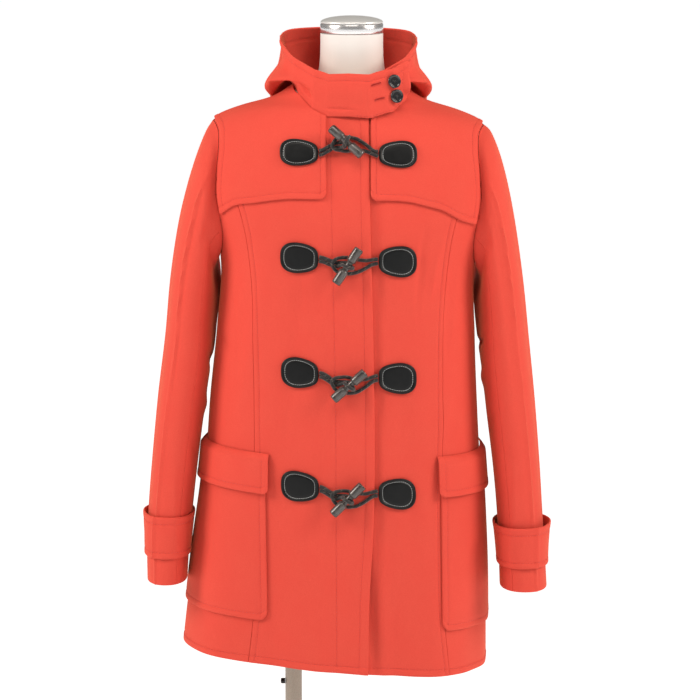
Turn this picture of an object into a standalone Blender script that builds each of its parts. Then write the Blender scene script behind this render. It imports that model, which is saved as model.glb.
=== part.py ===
# A wool duffle coat, buttoned up on a limbless dress form that stands on a pole and a round base.
# Metres, +Z up, the coat's front faces -Y. The origin is on the floor, under the base's middle.
# "Right" and "left" are the wearer's: the wearer's right is at -X.
# The coat's body is one surface of rings. A place on it is a turn (0 at the centre front, 90 degrees
# at the left side seam, 180 at the centre back) and a level (its height on the centre line), and
# every panel, yoke, pocket and patch is cut from it and moved in or out by a lift.

import math

import bmesh
import bpy
import numpy as np

CLOTH = 0.0026                  # wall of the wool melton with what backs it
SEAM = 0.0003                   # clearance between neighbouring pieces
SEAM_INSET = 0.0002             # each panel stops this far before its seam line
SHOULDER_INSET = 0.0022         # the same at the shoulder seam, in radians of turn
QUARTER = math.pi / 2

HEM_LEVEL = 0.535
UNDERARM_LEVEL = 1.10
SHOULDER_TIP = 1.2945
NECK_POINT = 1.345

# Rings of the coat's body: level, half widths, half depths, how square the ring is (2 is an
# ellipse), and lean, the fall of the ring per metre towards the wearer's left.
SECTION_COLUMNS = ("level", "right", "left", "front", "back", "boxy", "lean")
SECTIONS = (
    (0.500, 0.240, 0.196, 0.154, 0.156, 2.25, 0.075),
    (0.535, 0.237, 0.196, 0.152, 0.154, 2.25, 0.078),
    (0.650, 0.223, 0.195, 0.146, 0.148, 2.30, 0.083),
    (0.770, 0.206, 0.190, 0.140, 0.141, 2.35, 0.082),
    (0.900, 0.196, 0.183, 0.133, 0.133, 2.40, 0.065),
    (1.000, 0.186, 0.179, 0.127, 0.125, 2.45, 0.052),
    (1.100, 0.181, 0.179, 0.122, 0.119, 2.50, 0.040),
    (1.200, 0.205, 0.205, 0.114, 0.113, 2.55, 0.026),
    (1.250, 0.203, 0.203, 0.104, 0.104, 2.30, 0.020),
    (1.280, 0.197, 0.197, 0.095, 0.094, 2.10, 0.018),
    (SHOULDER_TIP, 0.190, 0.190, 0.089, 0.086, 1.90, 0.018),
    (1.3137, 0.147, 0.147, 0.082, 0.075, 1.80, 0.018),
    (1.3232, 0.114, 0.114, 0.076, 0.070, 1.75, 0.018),
    (NECK_POINT, 0.075, 0.075, 0.062, 0.066, 2.00, 0.018),
)

# Soft flutes that the flare makes at the hem: middle and half breadth in degrees of turn,
# how far out they stand at the hem, and the level where each dies away.
FLUTE_COLUMNS = ("turn", "breadth", "height", "top")
FLUTES = (
    (-62, 9, 0.0060, 0.95),
    (-38, 8, -0.0050, 0.90),
    (-16, 7, 0.0030, 0.80),
    (24, 7, -0.0055, 0.72),
    (44, 9, 0.0040, 0.88),
    (70, 9, -0.0040, 0.85),
    (106, 11, 0.0070, 1.00),
    (136, 11, -0.0080, 0.98),
    (163, 12, 0.0090, 1.02),
    (192, 11, -0.0080, 1.00),
    (222, 12, 0.0085, 0.96),
    (252, 11, -0.0060, 0.92),
)

ARMHOLE_MIDDLE = (SHOULDER_TIP + UNDERARM_LEVEL) / 2
ARMHOLE_HEIGHT = (SHOULDER_TIP - UNDERARM_LEVEL) / 2
ARMHOLE_FRONT = 0.070
ARMHOLE_BACK = 0.076
ARMHOLE_BOXY = 2.5
# The front edge keeps a little behind that curve over the chest: level, share.
CHEST_COLUMNS = ("level", "share")
ARMHOLE_CHEST = ((UNDERARM_LEVEL, 1.0), (1.132, 1.0), (1.160, 0.98), (1.205, 0.91), (1.250, 0.86),
                 (1.280, 0.88), (SHOULDER_TIP, 0.90))


def superellipse(angle, boxy):
    return (np.abs(np.cos(angle)) ** boxy + np.abs(np.sin(angle)) ** boxy) ** (-1 / boxy)


def armhole_level(degrees):
    """Level of the armhole's edge, by angle about it: 0 at the shoulder tip, 180 at the underarm."""
    angle = np.radians(np.asarray(degrees, float))
    return ARMHOLE_MIDDLE + ARMHOLE_HEIGHT * superellipse(angle, ARMHOLE_BOXY) * np.cos(angle)


PRINCESS_ANGLE = 80             # of the armhole where the princess seam runs into it, under the yoke
PRINCESS_TOP = float(armhole_level(PRINCESS_ANGLE))
# Levels of the rows along the princess seam, then angles of the rows above it beside the armhole.
SEAM_ROWS = (HEM_LEVEL, 0.59, 0.65, 0.72, 0.79, 0.86, 0.93, 1.00, 1.06, 1.105, 1.145, 1.183, 1.20,
             PRINCESS_TOP)
UPPER_ANGLES = (60, 40, 20, 0)
PRINCESS_COLUMNS = ("level", "x")
PRINCESS_SEAM = (
    (HEM_LEVEL, 0.141), (0.60, 0.131), (0.75, 0.1265), (0.90, 0.1255), (1.05, 0.1245),
    (1.10, 0.128), (1.15, 0.1365), (1.183, 0.149), (1.20, 0.160),
)

# The right front laps over the left one. Its edge, as x at a level.
LAP_COLUMNS = ("level", "x")
LAP_EDGE = ((HEM_LEVEL, 0.0272), (0.63, 0.0290), (0.75, 0.0352), (1.00, 0.0347), (1.17, 0.0303),
            (1.311, 0.0289))
UNDERLAP_X = -0.027             # the hidden edge of the left front
UNDERLAP_DROP = CLOTH + 0.0005  # how far the left front lies under the right one
UNDERLAP_FROM = 0.039
UNDERLAP_TO = 0.052
NECKLINE_COLUMNS = ("x", "level")
NECKLINE = ((0.0, 1.3100), (0.037, 1.3106), (0.052, 1.3185), (0.064, 1.3300), (0.075, NECK_POINT))
NECK_SIDE_X = 0.0675            # a column's end on the neckline between the throat and the shoulder
SHOULDER_LEVELS = (NECK_POINT, 1.3232, 1.3085, SHOULDER_TIP)
NECK_EASE = 0.0035              # the last row before the shoulder seam keeps this far below the neck point

FIT_GAP = 0.0004                # the coat's inside rests this close on the form's shoulders
CORD_RADIUS = 0.0025
TOGGLE_RADIUS = 0.006
TOGGLE_WAIST = 0.0044


def column(rows, names, name):
    return np.array([row[names.index(name)] for row in rows], float)


def smooth(at, knots, values):
    """A cubic through the knots, with the slope at each taken from its neighbours."""
    at = np.asarray(at, float)
    slopes = np.gradient(values, knots)
    here = np.clip(np.searchsorted(knots, at) - 1, 0, len(knots) - 2)
    span = knots[here + 1] - knots[here]
    t = (at - knots[here]) / span
    hermite = (2 * t ** 3 - 3 * t ** 2 + 1) * values[here] + (3 * t ** 2 - 2 * t ** 3) * values[here + 1]
    bend = (t ** 3 - 2 * t ** 2 + t) * slopes[here] + (t ** 3 - t ** 2) * slopes[here + 1]
    return np.where(t > 1, values[here + 1] + (t - 1) * slopes[here + 1] * span,
                    np.where(t < 0, values[here] + t * slopes[here] * span, hermite + bend * span))


def ease(t):
    t = np.clip(t, 0, 1)
    return t * t * (3 - 2 * t)


LEVELS = column(SECTIONS, SECTION_COLUMNS, "level")
RING = {name: column(SECTIONS, SECTION_COLUMNS, name) for name in SECTION_COLUMNS[1:]}


def ring(level, name):
    return smooth(level, LEVELS, RING[name])


def flutes(turn, level):
    out = np.zeros(np.broadcast(turn, level).shape)
    for middle, breadth, height, top in FLUTES:
        away = (np.degrees(turn) - middle + 180) % 360 - 180
        out = out + height * np.exp(-(away / breadth) ** 2) * ease((top - level) / (top - HEM_LEVEL))
    return out


def body_surface(turn, level):
    """Points of the coat's outside: a superellipse about the middle, leaning with its level."""
    turn = np.asarray(turn, float)
    level = np.asarray(level, float)
    sine, cosine = np.sin(turn), np.cos(turn)
    wide = np.where(sine < 0, ring(level, "right"), ring(level, "left"))
    deep = np.where(cosine > 0, ring(level, "front"), ring(level, "back"))
    boxy = ring(level, "boxy")
    radius = ((np.abs(sine) / wide) ** boxy + (np.abs(cosine) / deep) ** boxy) ** (-1 / boxy)
    radius = radius + flutes(turn, level)
    x = radius * sine
    return np.stack([x, -radius * cosine, level - x * ring(level, "lean")], axis=-1)


def on_body(turn, level, lift=0.0):
    """The body's surface, moved out along its normal by lift."""
    step = 1e-4
    turn, level = np.broadcast_arrays(np.asarray(turn, float), np.asarray(level, float))
    across = body_surface(turn + step, level) - body_surface(turn - step, level)
    up = body_surface(turn, level + step) - body_surface(turn, level - step)
    normal = np.cross(across, up)
    normal = normal / np.linalg.norm(normal, axis=-1, keepdims=True)
    return body_surface(turn, level) + np.asarray(lift)[..., None] * normal


def turn_at(x, level, front=True):
    """The turn whose point on the ring lies at x."""
    x = np.asarray(x, float)
    wide = np.where(x < 0, ring(level, "right"), ring(level, "left"))
    deep = ring(level, "front" if front else "back")
    boxy = ring(level, "boxy")
    depth = deep * np.clip(1 - (np.abs(x) / wide) ** boxy, 0, 1) ** (1 / boxy)
    return np.arctan2(x, depth if front else -depth)


def chest_share(level):
    """How far forward the front of the armhole comes at a level, as a share of the plain curve."""
    return smooth(np.clip(level, UNDERARM_LEVEL, SHOULDER_TIP), column(ARMHOLE_CHEST, CHEST_COLUMNS, "level"),
                  column(ARMHOLE_CHEST, CHEST_COLUMNS, "share"))


def armhole_turn(level, side, front=True):
    """The turn of the armhole's edge at a level; side is -1 on the wearer's right."""
    share = np.clip(np.abs(level - ARMHOLE_MIDDLE) / ARMHOLE_HEIGHT, 0, 1)
    reach = (1 - share ** ARMHOLE_BOXY) ** (1 / ARMHOLE_BOXY)
    reach = reach * (ARMHOLE_FRONT * chest_share(level) if front else ARMHOLE_BACK)
    deep = ring(level, "front" if front else "back")
    boxy = ring(level, "boxy")
    wide = ring(level, "right" if side < 0 else "left")
    x = wide * (1 - (reach / deep) ** boxy) ** (1 / boxy)
    return side * np.arctan2(x, reach if front else -reach)


def princess_x(level):
    x = smooth(level, column(PRINCESS_SEAM, PRINCESS_COLUMNS, "level"),
               column(PRINCESS_SEAM, PRINCESS_COLUMNS, "x"))
    corner = abs(float(body_surface(armhole_turn(PRINCESS_TOP, 1), PRINCESS_TOP)[0]))
    last_level, last_x = PRINCESS_SEAM[-1]
    share = (level - last_level) / (PRINCESS_TOP - last_level)
    return np.where(level > last_level, last_x + (corner - last_x) * share, x)


# ---------------------------------------------------------------- Blender helpers

def material(name, colour, roughness, metallic=0.0):
    made = bpy.data.materials.new(name)
    made.use_nodes = True
    shader = made.node_tree.nodes["Principled BSDF"]
    shader.inputs["Base Color"].default_value = (*colour, 1.0)
    shader.inputs["Roughness"].default_value = roughness
    shader.inputs["Metallic"].default_value = metallic
    return made


def add_solid(name, points, faces, slot):
    mesh = bpy.data.meshes.new(name)
    mesh.from_pydata([tuple(float(value) for value in point) for point in points], [], faces)
    work = bmesh.new()
    work.from_mesh(mesh)
    bmesh.ops.recalc_face_normals(work, faces=work.faces)
    bmesh.ops.triangulate(work, faces=work.faces)
    work.to_mesh(mesh)
    work.free()
    mesh.materials.append(slot)
    made = bpy.data.objects.new(name, mesh)
    bpy.context.collection.objects.link(made)
    mesh.shade_smooth()
    mesh.set_sharp_from_angle(angle=math.radians(40))
    return made


def wall(name, outer, inner, slot, closed=False):
    """A cloth wall between two matching grids of points; closed joins the last column to the first."""
    rows, columns = outer.shape[:2]
    points = np.concatenate([outer.reshape(-1, 3), inner.reshape(-1, 3)])
    skin = rows * columns
    faces = []

    def at(row, col, side):
        return side * skin + row * columns + col % columns

    spans = columns if closed else columns - 1
    for row in range(rows - 1):
        for col in range(spans):
            faces.append((at(row, col, 0), at(row, col + 1, 0), at(row + 1, col + 1, 0), at(row + 1, col, 0)))
            faces.append((at(row, col, 1), at(row + 1, col, 1), at(row + 1, col + 1, 1), at(row, col + 1, 1)))
    for col in range(spans):
        for row in (0, rows - 1):
            faces.append((at(row, col, 0), at(row, col + 1, 0), at(row, col + 1, 1), at(row, col, 1)))
    if not closed:
        for row in range(rows - 1):
            for col in (0, columns - 1):
                faces.append((at(row, col, 0), at(row + 1, col, 0), at(row + 1, col, 1), at(row, col, 1)))
    return add_solid(name, points, faces, slot)


def turned(name, profile, base, axis, slot, sides):
    """A solid of revolution: profile rows are (radius, height along the axis) from one end to the other."""
    axis = np.asarray(axis, float) / np.linalg.norm(axis)
    helper = np.array([0.0, 0.0, 1.0]) if abs(axis[2]) < 0.9 else np.array([1.0, 0.0, 0.0])
    side = np.cross(helper, axis)
    side = side / np.linalg.norm(side)
    other = np.cross(axis, side)
    points, faces = [], []
    for radius, height in profile:
        for index in range(sides):
            angle = 2 * math.pi * index / sides
            spoke = math.cos(angle) * side + math.sin(angle) * other
            points.append(np.asarray(base) + axis * height + radius * spoke)
    for row in range(len(profile) - 1):
        for index in range(sides):
            after = (index + 1) % sides
            faces.append((row * sides + index, row * sides + after,
                          (row + 1) * sides + after, (row + 1) * sides + index))
    faces.append(tuple(range(sides)))
    faces.append(tuple((len(profile) - 1) * sides + index for index in range(sides)))
    return add_solid(name, points, faces, slot)


def inset_columns(turns, levels, start, end):
    """Pull the first and last columns of a grid back from their seam lines."""
    points = body_surface(turns, levels)
    moved = turns.copy()
    for edge, near, wanted in ((0, 1, start), (-1, -2, end)):
        if wanted:
            gap = np.linalg.norm(points[:, edge] - points[:, near], axis=-1)
            share = np.clip(SEAM_INSET / np.maximum(gap, 1e-6), 0, 0.4)
            moved[:, edge] = turns[:, edge] + (turns[:, near] - turns[:, edge]) * share
    return moved


# ---------------------------------------------------------------- the coat's body

def row_shares():
    levels = np.concatenate([np.array(SEAM_ROWS), armhole_level(UPPER_ANGLES)])
    return (levels - HEM_LEVEL) / (SHOULDER_TIP - HEM_LEVEL)


def neck_level(x):
    return smooth(np.abs(x), column(NECKLINE, NECKLINE_COLUMNS, "x"),
                  column(NECKLINE, NECKLINE_COLUMNS, "level"))


FRONT_FIXED_RIGHT = (None, 0.0, -0.028, -0.049)     # x of the first columns; None follows the lap's edge
FRONT_FIXED_LEFT = (UNDERLAP_X, 0.005, UNDERLAP_FROM - 0.001, UNDERLAP_TO)
FRONT_SPREAD = (0.17, 0.36, 0.57, 0.79, 1.0)        # the others, as shares of the way to the seam


def front_grid(side):
    """Turns and levels of a front panel, columns from its lapping edge to the princess seam."""
    shares = row_shares()
    corner = len(SEAM_ROWS) - 1
    fixed = FRONT_FIXED_RIGHT if side < 0 else FRONT_FIXED_LEFT
    fixed_x = [LAP_EDGE[-1][1] if x is None else x for x in fixed]
    tops = np.concatenate([neck_level(fixed_x), [neck_level(NECK_SIDE_X)], SHOULDER_LEVELS])
    levels = HEM_LEVEL + shares[:, None] * (tops[None, :] - HEM_LEVEL)
    levels[-2, len(fixed) + 1] -= NECK_EASE
    outer_level = levels[:, -1]
    seam_turn = turn_at(side * princess_x(outer_level), outer_level)
    outer_turn = np.where(outer_level <= PRINCESS_TOP + 1e-6, seam_turn, armhole_turn(outer_level, side))
    outer_x = body_surface(outer_turn, outer_level)[:, 0]
    fan = ((outer_turn - outer_turn[corner]) / (side * QUARTER - outer_turn[corner])).clip(0, 1)
    fan[:corner] = 0
    climb = ((levels - levels[corner]) / (levels[-1] - levels[corner])).clip(0, 1)
    turns = np.zeros_like(levels)
    lap = smooth(levels[:, 0], column(LAP_EDGE, LAP_COLUMNS, "level"), column(LAP_EDGE, LAP_COLUMNS, "x"))
    for index, x in enumerate(fixed):
        place = lap if x is None else np.full(len(shares), x)
        turns[:, index] = turn_at(place, levels[:, index])
    start = fixed_x[-1]
    for index, share in enumerate(FRONT_SPREAD, start=len(fixed)):
        place = start + share * (outer_x - start)
        if index == len(fixed):
            place = place * (1 - climb[:, index]) + side * NECK_SIDE_X * climb[:, index]
        plain = turn_at(place, levels[:, index])
        if index > len(fixed):
            ridge = side * (QUARTER - SHOULDER_INSET)
            plain[corner:] = plain[corner] + fan[corner:] * (ridge - plain[corner])
        turns[:, index] = plain
    turns[:-1, -1] = outer_turn[:-1]
    return turns, levels


def trim_top(levels):
    trimmed = levels.copy()
    trimmed[-1] -= SEAM
    return trimmed


def underlap_lift(turns, levels):
    x = body_surface(turns, levels)[..., 0]
    return -UNDERLAP_DROP * ease((UNDERLAP_TO - x) / (UNDERLAP_TO - UNDERLAP_FROM))


def build_front(name, side, slot):
    turns, levels = front_grid(side)
    levels = trim_top(levels)
    turns = inset_columns(turns, levels, False, True)
    lift = underlap_lift(turns, levels) if side > 0 else np.zeros_like(turns)
    return wall(name, on_body(turns, levels, lift), on_body(turns, levels, lift - CLOTH), slot)


def on_side_seam(levels):
    """Levels of the princess seam's rows, carried over to the side seam."""
    climb = (np.asarray(levels) - HEM_LEVEL) / (PRINCESS_TOP - HEM_LEVEL)
    return HEM_LEVEL + climb * (UNDERARM_LEVEL - HEM_LEVEL)


# Columns between the princess seam and the side seam, and the armhole's angle where each ends.
SIDE_SHARES = (0.0, 0.08, 0.24, 0.48, 0.74, 1.0)
SIDE_ANGLES = (80, 100, 120, 140, 160, 180)


def side_front_turn(side, share, level):
    """The turn of a column of the side front, at levels below the armhole."""
    top = np.interp(share, SIDE_SHARES, armhole_level(SIDE_ANGLES))
    seam_level = HEM_LEVEL + (level - HEM_LEVEL) / (top - HEM_LEVEL) * (PRINCESS_TOP - HEM_LEVEL)
    seam_turn = turn_at(side * princess_x(seam_level), seam_level)
    return seam_turn + share * (side * QUARTER - seam_turn)


def build_side_front(name, side, slot):
    """Between the princess seam and the side seam; its top edge is the armhole's lower front."""
    shares = np.array(SIDE_SHARES)
    seam_levels = np.array(SEAM_ROWS)
    seam_turn = turn_at(side * princess_x(seam_levels), seam_levels)
    top_levels = armhole_level(SIDE_ANGLES)
    top_turn = armhole_turn(top_levels, side)
    climb = (seam_levels - HEM_LEVEL) / (PRINCESS_TOP - HEM_LEVEL)
    levels = HEM_LEVEL + climb[:, None] * (top_levels[None, :] - HEM_LEVEL)
    turns = seam_turn[:, None] + shares[None, :] * (side * QUARTER - seam_turn[:, None])
    blend = ease((climb - 0.75) / 0.25)[:, None]
    turns = turns * (1 - blend) + blend * top_turn[None, :]
    turns[:, 0] = seam_turn
    turns[:, -1] = side * QUARTER
    levels = trim_top(levels)
    turns = inset_columns(turns, levels, True, True)
    return wall(name, on_body(turns, levels), on_body(turns, levels, -CLOTH), slot)


BACK_ROWS = (HEM_LEVEL, 0.59, 0.65, 0.72, 0.79, 0.86, 0.93, 1.00, 1.06, 1.145, PRINCESS_TOP)
BACK_ANGLES = (160, 140, 120, 100, 80, 60, 40, 20, 0)
BACK_SHARES = (0.0, 0.10, 0.20, 0.33, 0.50, 0.67, 0.83, 1.0)
BACK_NECK_SHARES = (0.25, 0.5, 0.75, 1.0)       # of the way from the shoulder seam to the centre back
# These columns keep outside the armhole's lower curve, by a margin in degrees of turn.
BACK_MARGINS = ((1, 4), (2, 10))


def back_half(side):
    """Turns and levels from a side seam to the centre back."""
    edge_levels = np.concatenate([on_side_seam(BACK_ROWS), armhole_level(BACK_ANGLES)])
    edge_turn = np.concatenate([np.full(len(BACK_ROWS), side * QUARTER),
                                armhole_turn(armhole_level(BACK_ANGLES), side, False)])
    corner = len(BACK_ROWS) + BACK_ANGLES.index(PRINCESS_ANGLE)
    shares = np.array(BACK_SHARES)
    climb = (edge_levels - HEM_LEVEL) / (SHOULDER_TIP - HEM_LEVEL)
    tops = np.array(SHOULDER_LEVELS[::-1] + (NECK_POINT,) * len(BACK_NECK_SHARES))
    levels = HEM_LEVEL + climb[:, None] * (tops[None, :] - HEM_LEVEL)
    turns = edge_turn[:, None] + shares[None, :] * (side * math.pi - edge_turn[:, None])
    for col, margin in BACK_MARGINS:
        beside = np.abs(armhole_turn(levels[:, col], side, False)) + math.radians(margin)
        low = (levels[:, col] > UNDERARM_LEVEL) & (levels[:, col] < ARMHOLE_MIDDLE)
        turns[low, col] = side * np.maximum(np.abs(turns[low, col]), beside[low])
    levels[-2, 3] -= NECK_EASE
    fan = ((edge_turn - edge_turn[corner]) / (side * QUARTER - edge_turn[corner]))[corner:, None]
    top_turns = side * QUARTER * (1 + np.array((0.0,) * len(SHOULDER_LEVELS) + BACK_NECK_SHARES))
    top_turns[:len(SHOULDER_LEVELS)] += side * SHOULDER_INSET
    turns[corner:] = turns[corner] + fan * (top_turns - turns[corner])
    turns[corner:-1, 0] = edge_turn[corner:-1]
    return turns, levels


def build_back(name, slot):
    right_turns, right_levels = back_half(-1)
    left_turns, left_levels = back_half(1)
    turns = np.concatenate([left_turns, (2 * math.pi + right_turns)[:, -2::-1]], axis=1)
    levels = np.concatenate([left_levels, right_levels[:, -2::-1]], axis=1)
    levels = trim_top(levels)
    turns = inset_columns(turns, levels, True, True)
    return wall(name, on_body(turns, levels), on_body(turns, levels, -CLOTH), slot)


# ---------------------------------------------------------------- yokes

YOKE_LIFT = 0.0006
YOKE_OUTSIDE = YOKE_LIFT + CLOTH
YOKE_INNER_X = 0.0309
YOKE_ARMHOLE_GAP = 0.0045
YOKE_TIP_RISE = 0.45 * YOKE_ARMHOLE_GAP     # of the yoke's corner at the shoulder tip
YOKE_SHOULDER_INSET = 1.3 * SHOULDER_INSET
YOKE_EDGE_STAND = 0.0004
YOKE_NECK_STAND = 0.0015
YOKE_CORNER_STAND = 0.0008      # of the front yoke's lower outer corner, which dies away upwards
YOKE_CORNER_FROM = 1.225
YOKE_CORNER_FADE = 0.02
# The yokes stop short of the neck seam, under the hood: columns, and where their last two points
# come, as shares of the way between the rows before.
FRONT_YOKE_ENDS = ((0, 4, 0.93, 0.70),)
BACK_YOKE_ENDS = ((3, 5, 0.93, 0.70), (5, 10, 0.70, 0.45), (10, 12, 0.93, 0.70))
# Level of the free lower edge for each column, from the placket or the centre back to the armhole.
FRONT_YOKE_EDGE = (1.1955, 1.1953, 1.1950, 1.1948, 1.1920, 1.1820, 1.1710, 1.1600)
BACK_YOKE_EDGE = (1.1650, 1.1710, 1.1750, 1.1775, 1.1780, 1.1780, 1.1780, 1.1780)


def above_edge(turns, levels, edge, first_row):
    """The part of a panel's grid above an edge, which has one level for each column."""
    edge = np.array(edge)
    edge_turns = [np.interp(edge[col], levels[:, col], turns[:, col]) for col in range(len(edge))]
    return (np.concatenate([np.array(edge_turns)[None], turns[first_row:]]),
            np.concatenate([edge[None], levels[first_row:]]))


def shorten(points, ends):
    """Pull the ends of some columns back between their last rows, clear of the hood's seam."""
    for first, after, last, before in ends:
        low, high = points[-3, first:after].copy(), points[-2, first:after].copy()
        points[-1, first:after] = low + last * (high - low)
        points[-2, first:after] = low + before * (high - low)
    return points


def build_front_yoke(name, side, slot):
    """A cape yoke: free along its lower and inner edges, caught at the neck, shoulder and armhole."""
    turns, levels = front_grid(side)
    inner_levels = HEM_LEVEL + row_shares() * (float(neck_level(YOKE_INNER_X)) - HEM_LEVEL)
    inner_turns = turn_at(np.full_like(inner_levels, side * YOKE_INNER_X), inner_levels)
    edge_turn = armhole_turn(levels[:, -1].clip(UNDERARM_LEVEL), side)
    reach = np.linalg.norm(body_surface(edge_turn, levels[:, -1])[:, :2], axis=-1)
    turns[:-1, -1] = (edge_turn - side * YOKE_ARMHOLE_GAP / reach)[:-1]
    levels[-1, -1] += YOKE_TIP_RISE
    between_turns = turns[:, -2:].mean(axis=1)
    between_levels = levels[:, -2:].mean(axis=1)
    turns = np.column_stack([inner_turns, turns[:, 3:-1], between_turns, turns[:, -1]])
    levels = np.column_stack([inner_levels, levels[:, 3:-1], between_levels, levels[:, -1]])
    turns, levels = above_edge(turns, levels, FRONT_YOKE_EDGE, SEAM_ROWS.index(1.183))
    turns[-1, 3:] = side * (QUARTER - YOKE_SHOULDER_INSET)
    stand = np.zeros_like(levels)
    stand[:, -3:] = YOKE_CORNER_STAND * ease((YOKE_CORNER_FROM - levels[:, -3:]) / YOKE_CORNER_FADE)
    stand[-3:, :4] = YOKE_NECK_STAND
    return wall(name, shorten(on_body(turns, levels, YOKE_OUTSIDE + stand), FRONT_YOKE_ENDS),
                shorten(on_body(turns, levels, YOKE_LIFT + stand), FRONT_YOKE_ENDS), slot)


def build_back_yoke(name, slot):
    """The back cape, its free edge dipping towards the armholes like the front ones."""
    halves = []
    for side in (1, -1):
        turns, levels = back_half(side)
        edge_turn = armhole_turn(levels[:, 0].clip(UNDERARM_LEVEL), side, False)
        reach = np.linalg.norm(body_surface(edge_turn, levels[:, 0])[:, :2], axis=-1)
        turns[:-1, 0] = (edge_turn + side * YOKE_ARMHOLE_GAP / reach)[:-1]
        levels[-1, 0] += YOKE_TIP_RISE
        turns, levels = above_edge(turns, levels, BACK_YOKE_EDGE, len(BACK_ROWS) + BACK_ANGLES.index(100))
        turns[-1, :4] = side * (QUARTER + YOKE_SHOULDER_INSET)
        halves.append((turns, levels))
    (left_turns, left_levels), (right_turns, right_levels) = halves
    turns = np.concatenate([left_turns, (2 * math.pi + right_turns)[:, -2::-1]], axis=1)
    levels = np.concatenate([left_levels, right_levels[:, -2::-1]], axis=1)
    stand = np.zeros_like(levels)
    stand[:2] = YOKE_EDGE_STAND
    stand[-3:, 3:-3] = YOKE_NECK_STAND
    return wall(name, shorten(on_body(turns, levels, YOKE_OUTSIDE + stand), BACK_YOKE_ENDS),
                shorten(on_body(turns, levels, YOKE_LIFT + stand), BACK_YOKE_ENDS), slot)


# ---------------------------------------------------------------- sleeves

# Rings of a sleeve from the armhole to the hem: its outer and inner points, the ring's middle
# in y and its half depth. The sleeve swings forward towards the wrist, as a two-piece sleeve does.
SLEEVE_COLUMNS = ("outer_x", "outer_z", "inner_x", "inner_z", "middle_y", "depth")
SLEEVE_RIGHT = (
    (-0.1904, 1.2979, -0.1838, 1.1070, 0.003, 0.0730),
    (-0.2010, 1.2810, -0.1890, 1.0900, 0.002, 0.0780),
    (-0.2150, 1.2460, -0.1900, 1.0760, 0.001, 0.0800),
    (-0.2290, 1.2000, -0.1890, 1.0600, 0.000, 0.0795),
    (-0.2410, 1.1480, -0.1900, 1.0400, -0.001, 0.0785),
    (-0.2520, 1.0750, -0.1915, 1.0120, -0.003, 0.0765),
    (-0.2595, 0.9950, -0.1935, 0.9680, -0.007, 0.0740),
    (-0.2700, 0.9100, -0.2030, 0.8980, -0.013, 0.0710),
    (-0.2785, 0.8200, -0.2135, 0.8170, -0.022, 0.0670),
    (-0.2835, 0.7550, -0.2205, 0.7550, -0.030, 0.0635),
    (-0.2860, 0.7000, -0.2260, 0.7000, -0.036, 0.0610),
    (-0.2855, 0.6500, -0.2290, 0.6500, -0.041, 0.0595),
)
SLEEVE_LEFT = (
    (0.1904, 1.2911, 0.1818, 1.0930, 0.003, 0.0730),
    (0.2010, 1.2800, 0.1855, 1.0780, 0.002, 0.0780),
    (0.2140, 1.2480, 0.1860, 1.0640, 0.001, 0.0800),
    (0.2260, 1.2020, 0.1850, 1.0480, 0.000, 0.0795),
    (0.2370, 1.1430, 0.1855, 1.0280, -0.001, 0.0785),
    (0.2475, 1.0680, 0.1860, 1.0000, -0.003, 0.0765),
    (0.2555, 0.9900, 0.1880, 0.9600, -0.007, 0.0740),
    (0.2640, 0.9050, 0.1950, 0.8900, -0.013, 0.0710),
    (0.2710, 0.8150, 0.2050, 0.8080, -0.022, 0.0670),
    (0.2755, 0.7400, 0.2110, 0.7400, -0.030, 0.0635),
    (0.2790, 0.6850, 0.2135, 0.6850, -0.036, 0.0610),
    (0.2815, 0.6400, 0.2150, 0.6400, -0.041, 0.0595),
)
SLEEVE_BOXY = 2.25
SLEEVE_FADE = 1.6               # rings over which the armhole's own shape fades out
FRONT_SEAM = math.radians(120)  # angles about the sleeve: 0 outside, 90 front, 180 against the body
BACK_SEAM = math.radians(240)
SLEEVE_STEP = math.radians(20)
SLEEVE_SEAM_INSET = 0.004       # in radians
ARMHOLE_CLEAR = 0.0009


def armhole_points(angle, side):
    """The armhole's edge as a loop about the shoulder, just outside the panels' edges."""
    reach = superellipse(angle, ARMHOLE_BOXY)
    level = ARMHOLE_MIDDLE + ARMHOLE_HEIGHT * reach * np.cos(angle)
    across = reach * np.sin(angle)
    y = -np.where(across > 0, ARMHOLE_FRONT * chest_share(level), ARMHOLE_BACK) * across
    deep = np.where(y < 0, ring(level, "front"), ring(level, "back"))
    boxy = ring(level, "boxy")
    x = side * ring(level, "left") * np.clip(1 - (np.abs(y) / deep) ** boxy, 0, 1) ** (1 / boxy)
    if side < 0:
        x = side * ring(level, "right") * np.clip(1 - (np.abs(y) / deep) ** boxy, 0, 1) ** (1 / boxy)
    return np.stack([x + side * ARMHOLE_CLEAR, y, level - x * ring(level, "lean")], axis=-1)


def sleeve_ring(table, station, angle):
    knots = np.arange(len(table), dtype=float)
    row = {name: smooth(station, knots, column(table, SLEEVE_COLUMNS, name)) for name in SLEEVE_COLUMNS}
    reach = superellipse(angle, SLEEVE_BOXY)
    along, across = reach * np.cos(angle), reach * np.sin(angle)
    x = (row["outer_x"] + row["inner_x"]) / 2 + along * (row["outer_x"] - row["inner_x"]) / 2
    z = (row["outer_z"] + row["inner_z"]) / 2 + along * (row["outer_z"] - row["inner_z"]) / 2
    return np.stack([x, row["middle_y"] - across * row["depth"], z], axis=-1)


def sleeve_surface(side, station, angle):
    table = SLEEVE_RIGHT if side < 0 else SLEEVE_LEFT
    station, angle = np.broadcast_arrays(np.asarray(station, float), np.asarray(angle, float))
    plain = sleeve_ring(table, station, angle)
    start = armhole_points(angle, side) - sleeve_ring(table, np.zeros_like(station), angle)
    fade = ease(1 - station / SLEEVE_FADE)[..., None]
    return plain + fade * start


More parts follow.
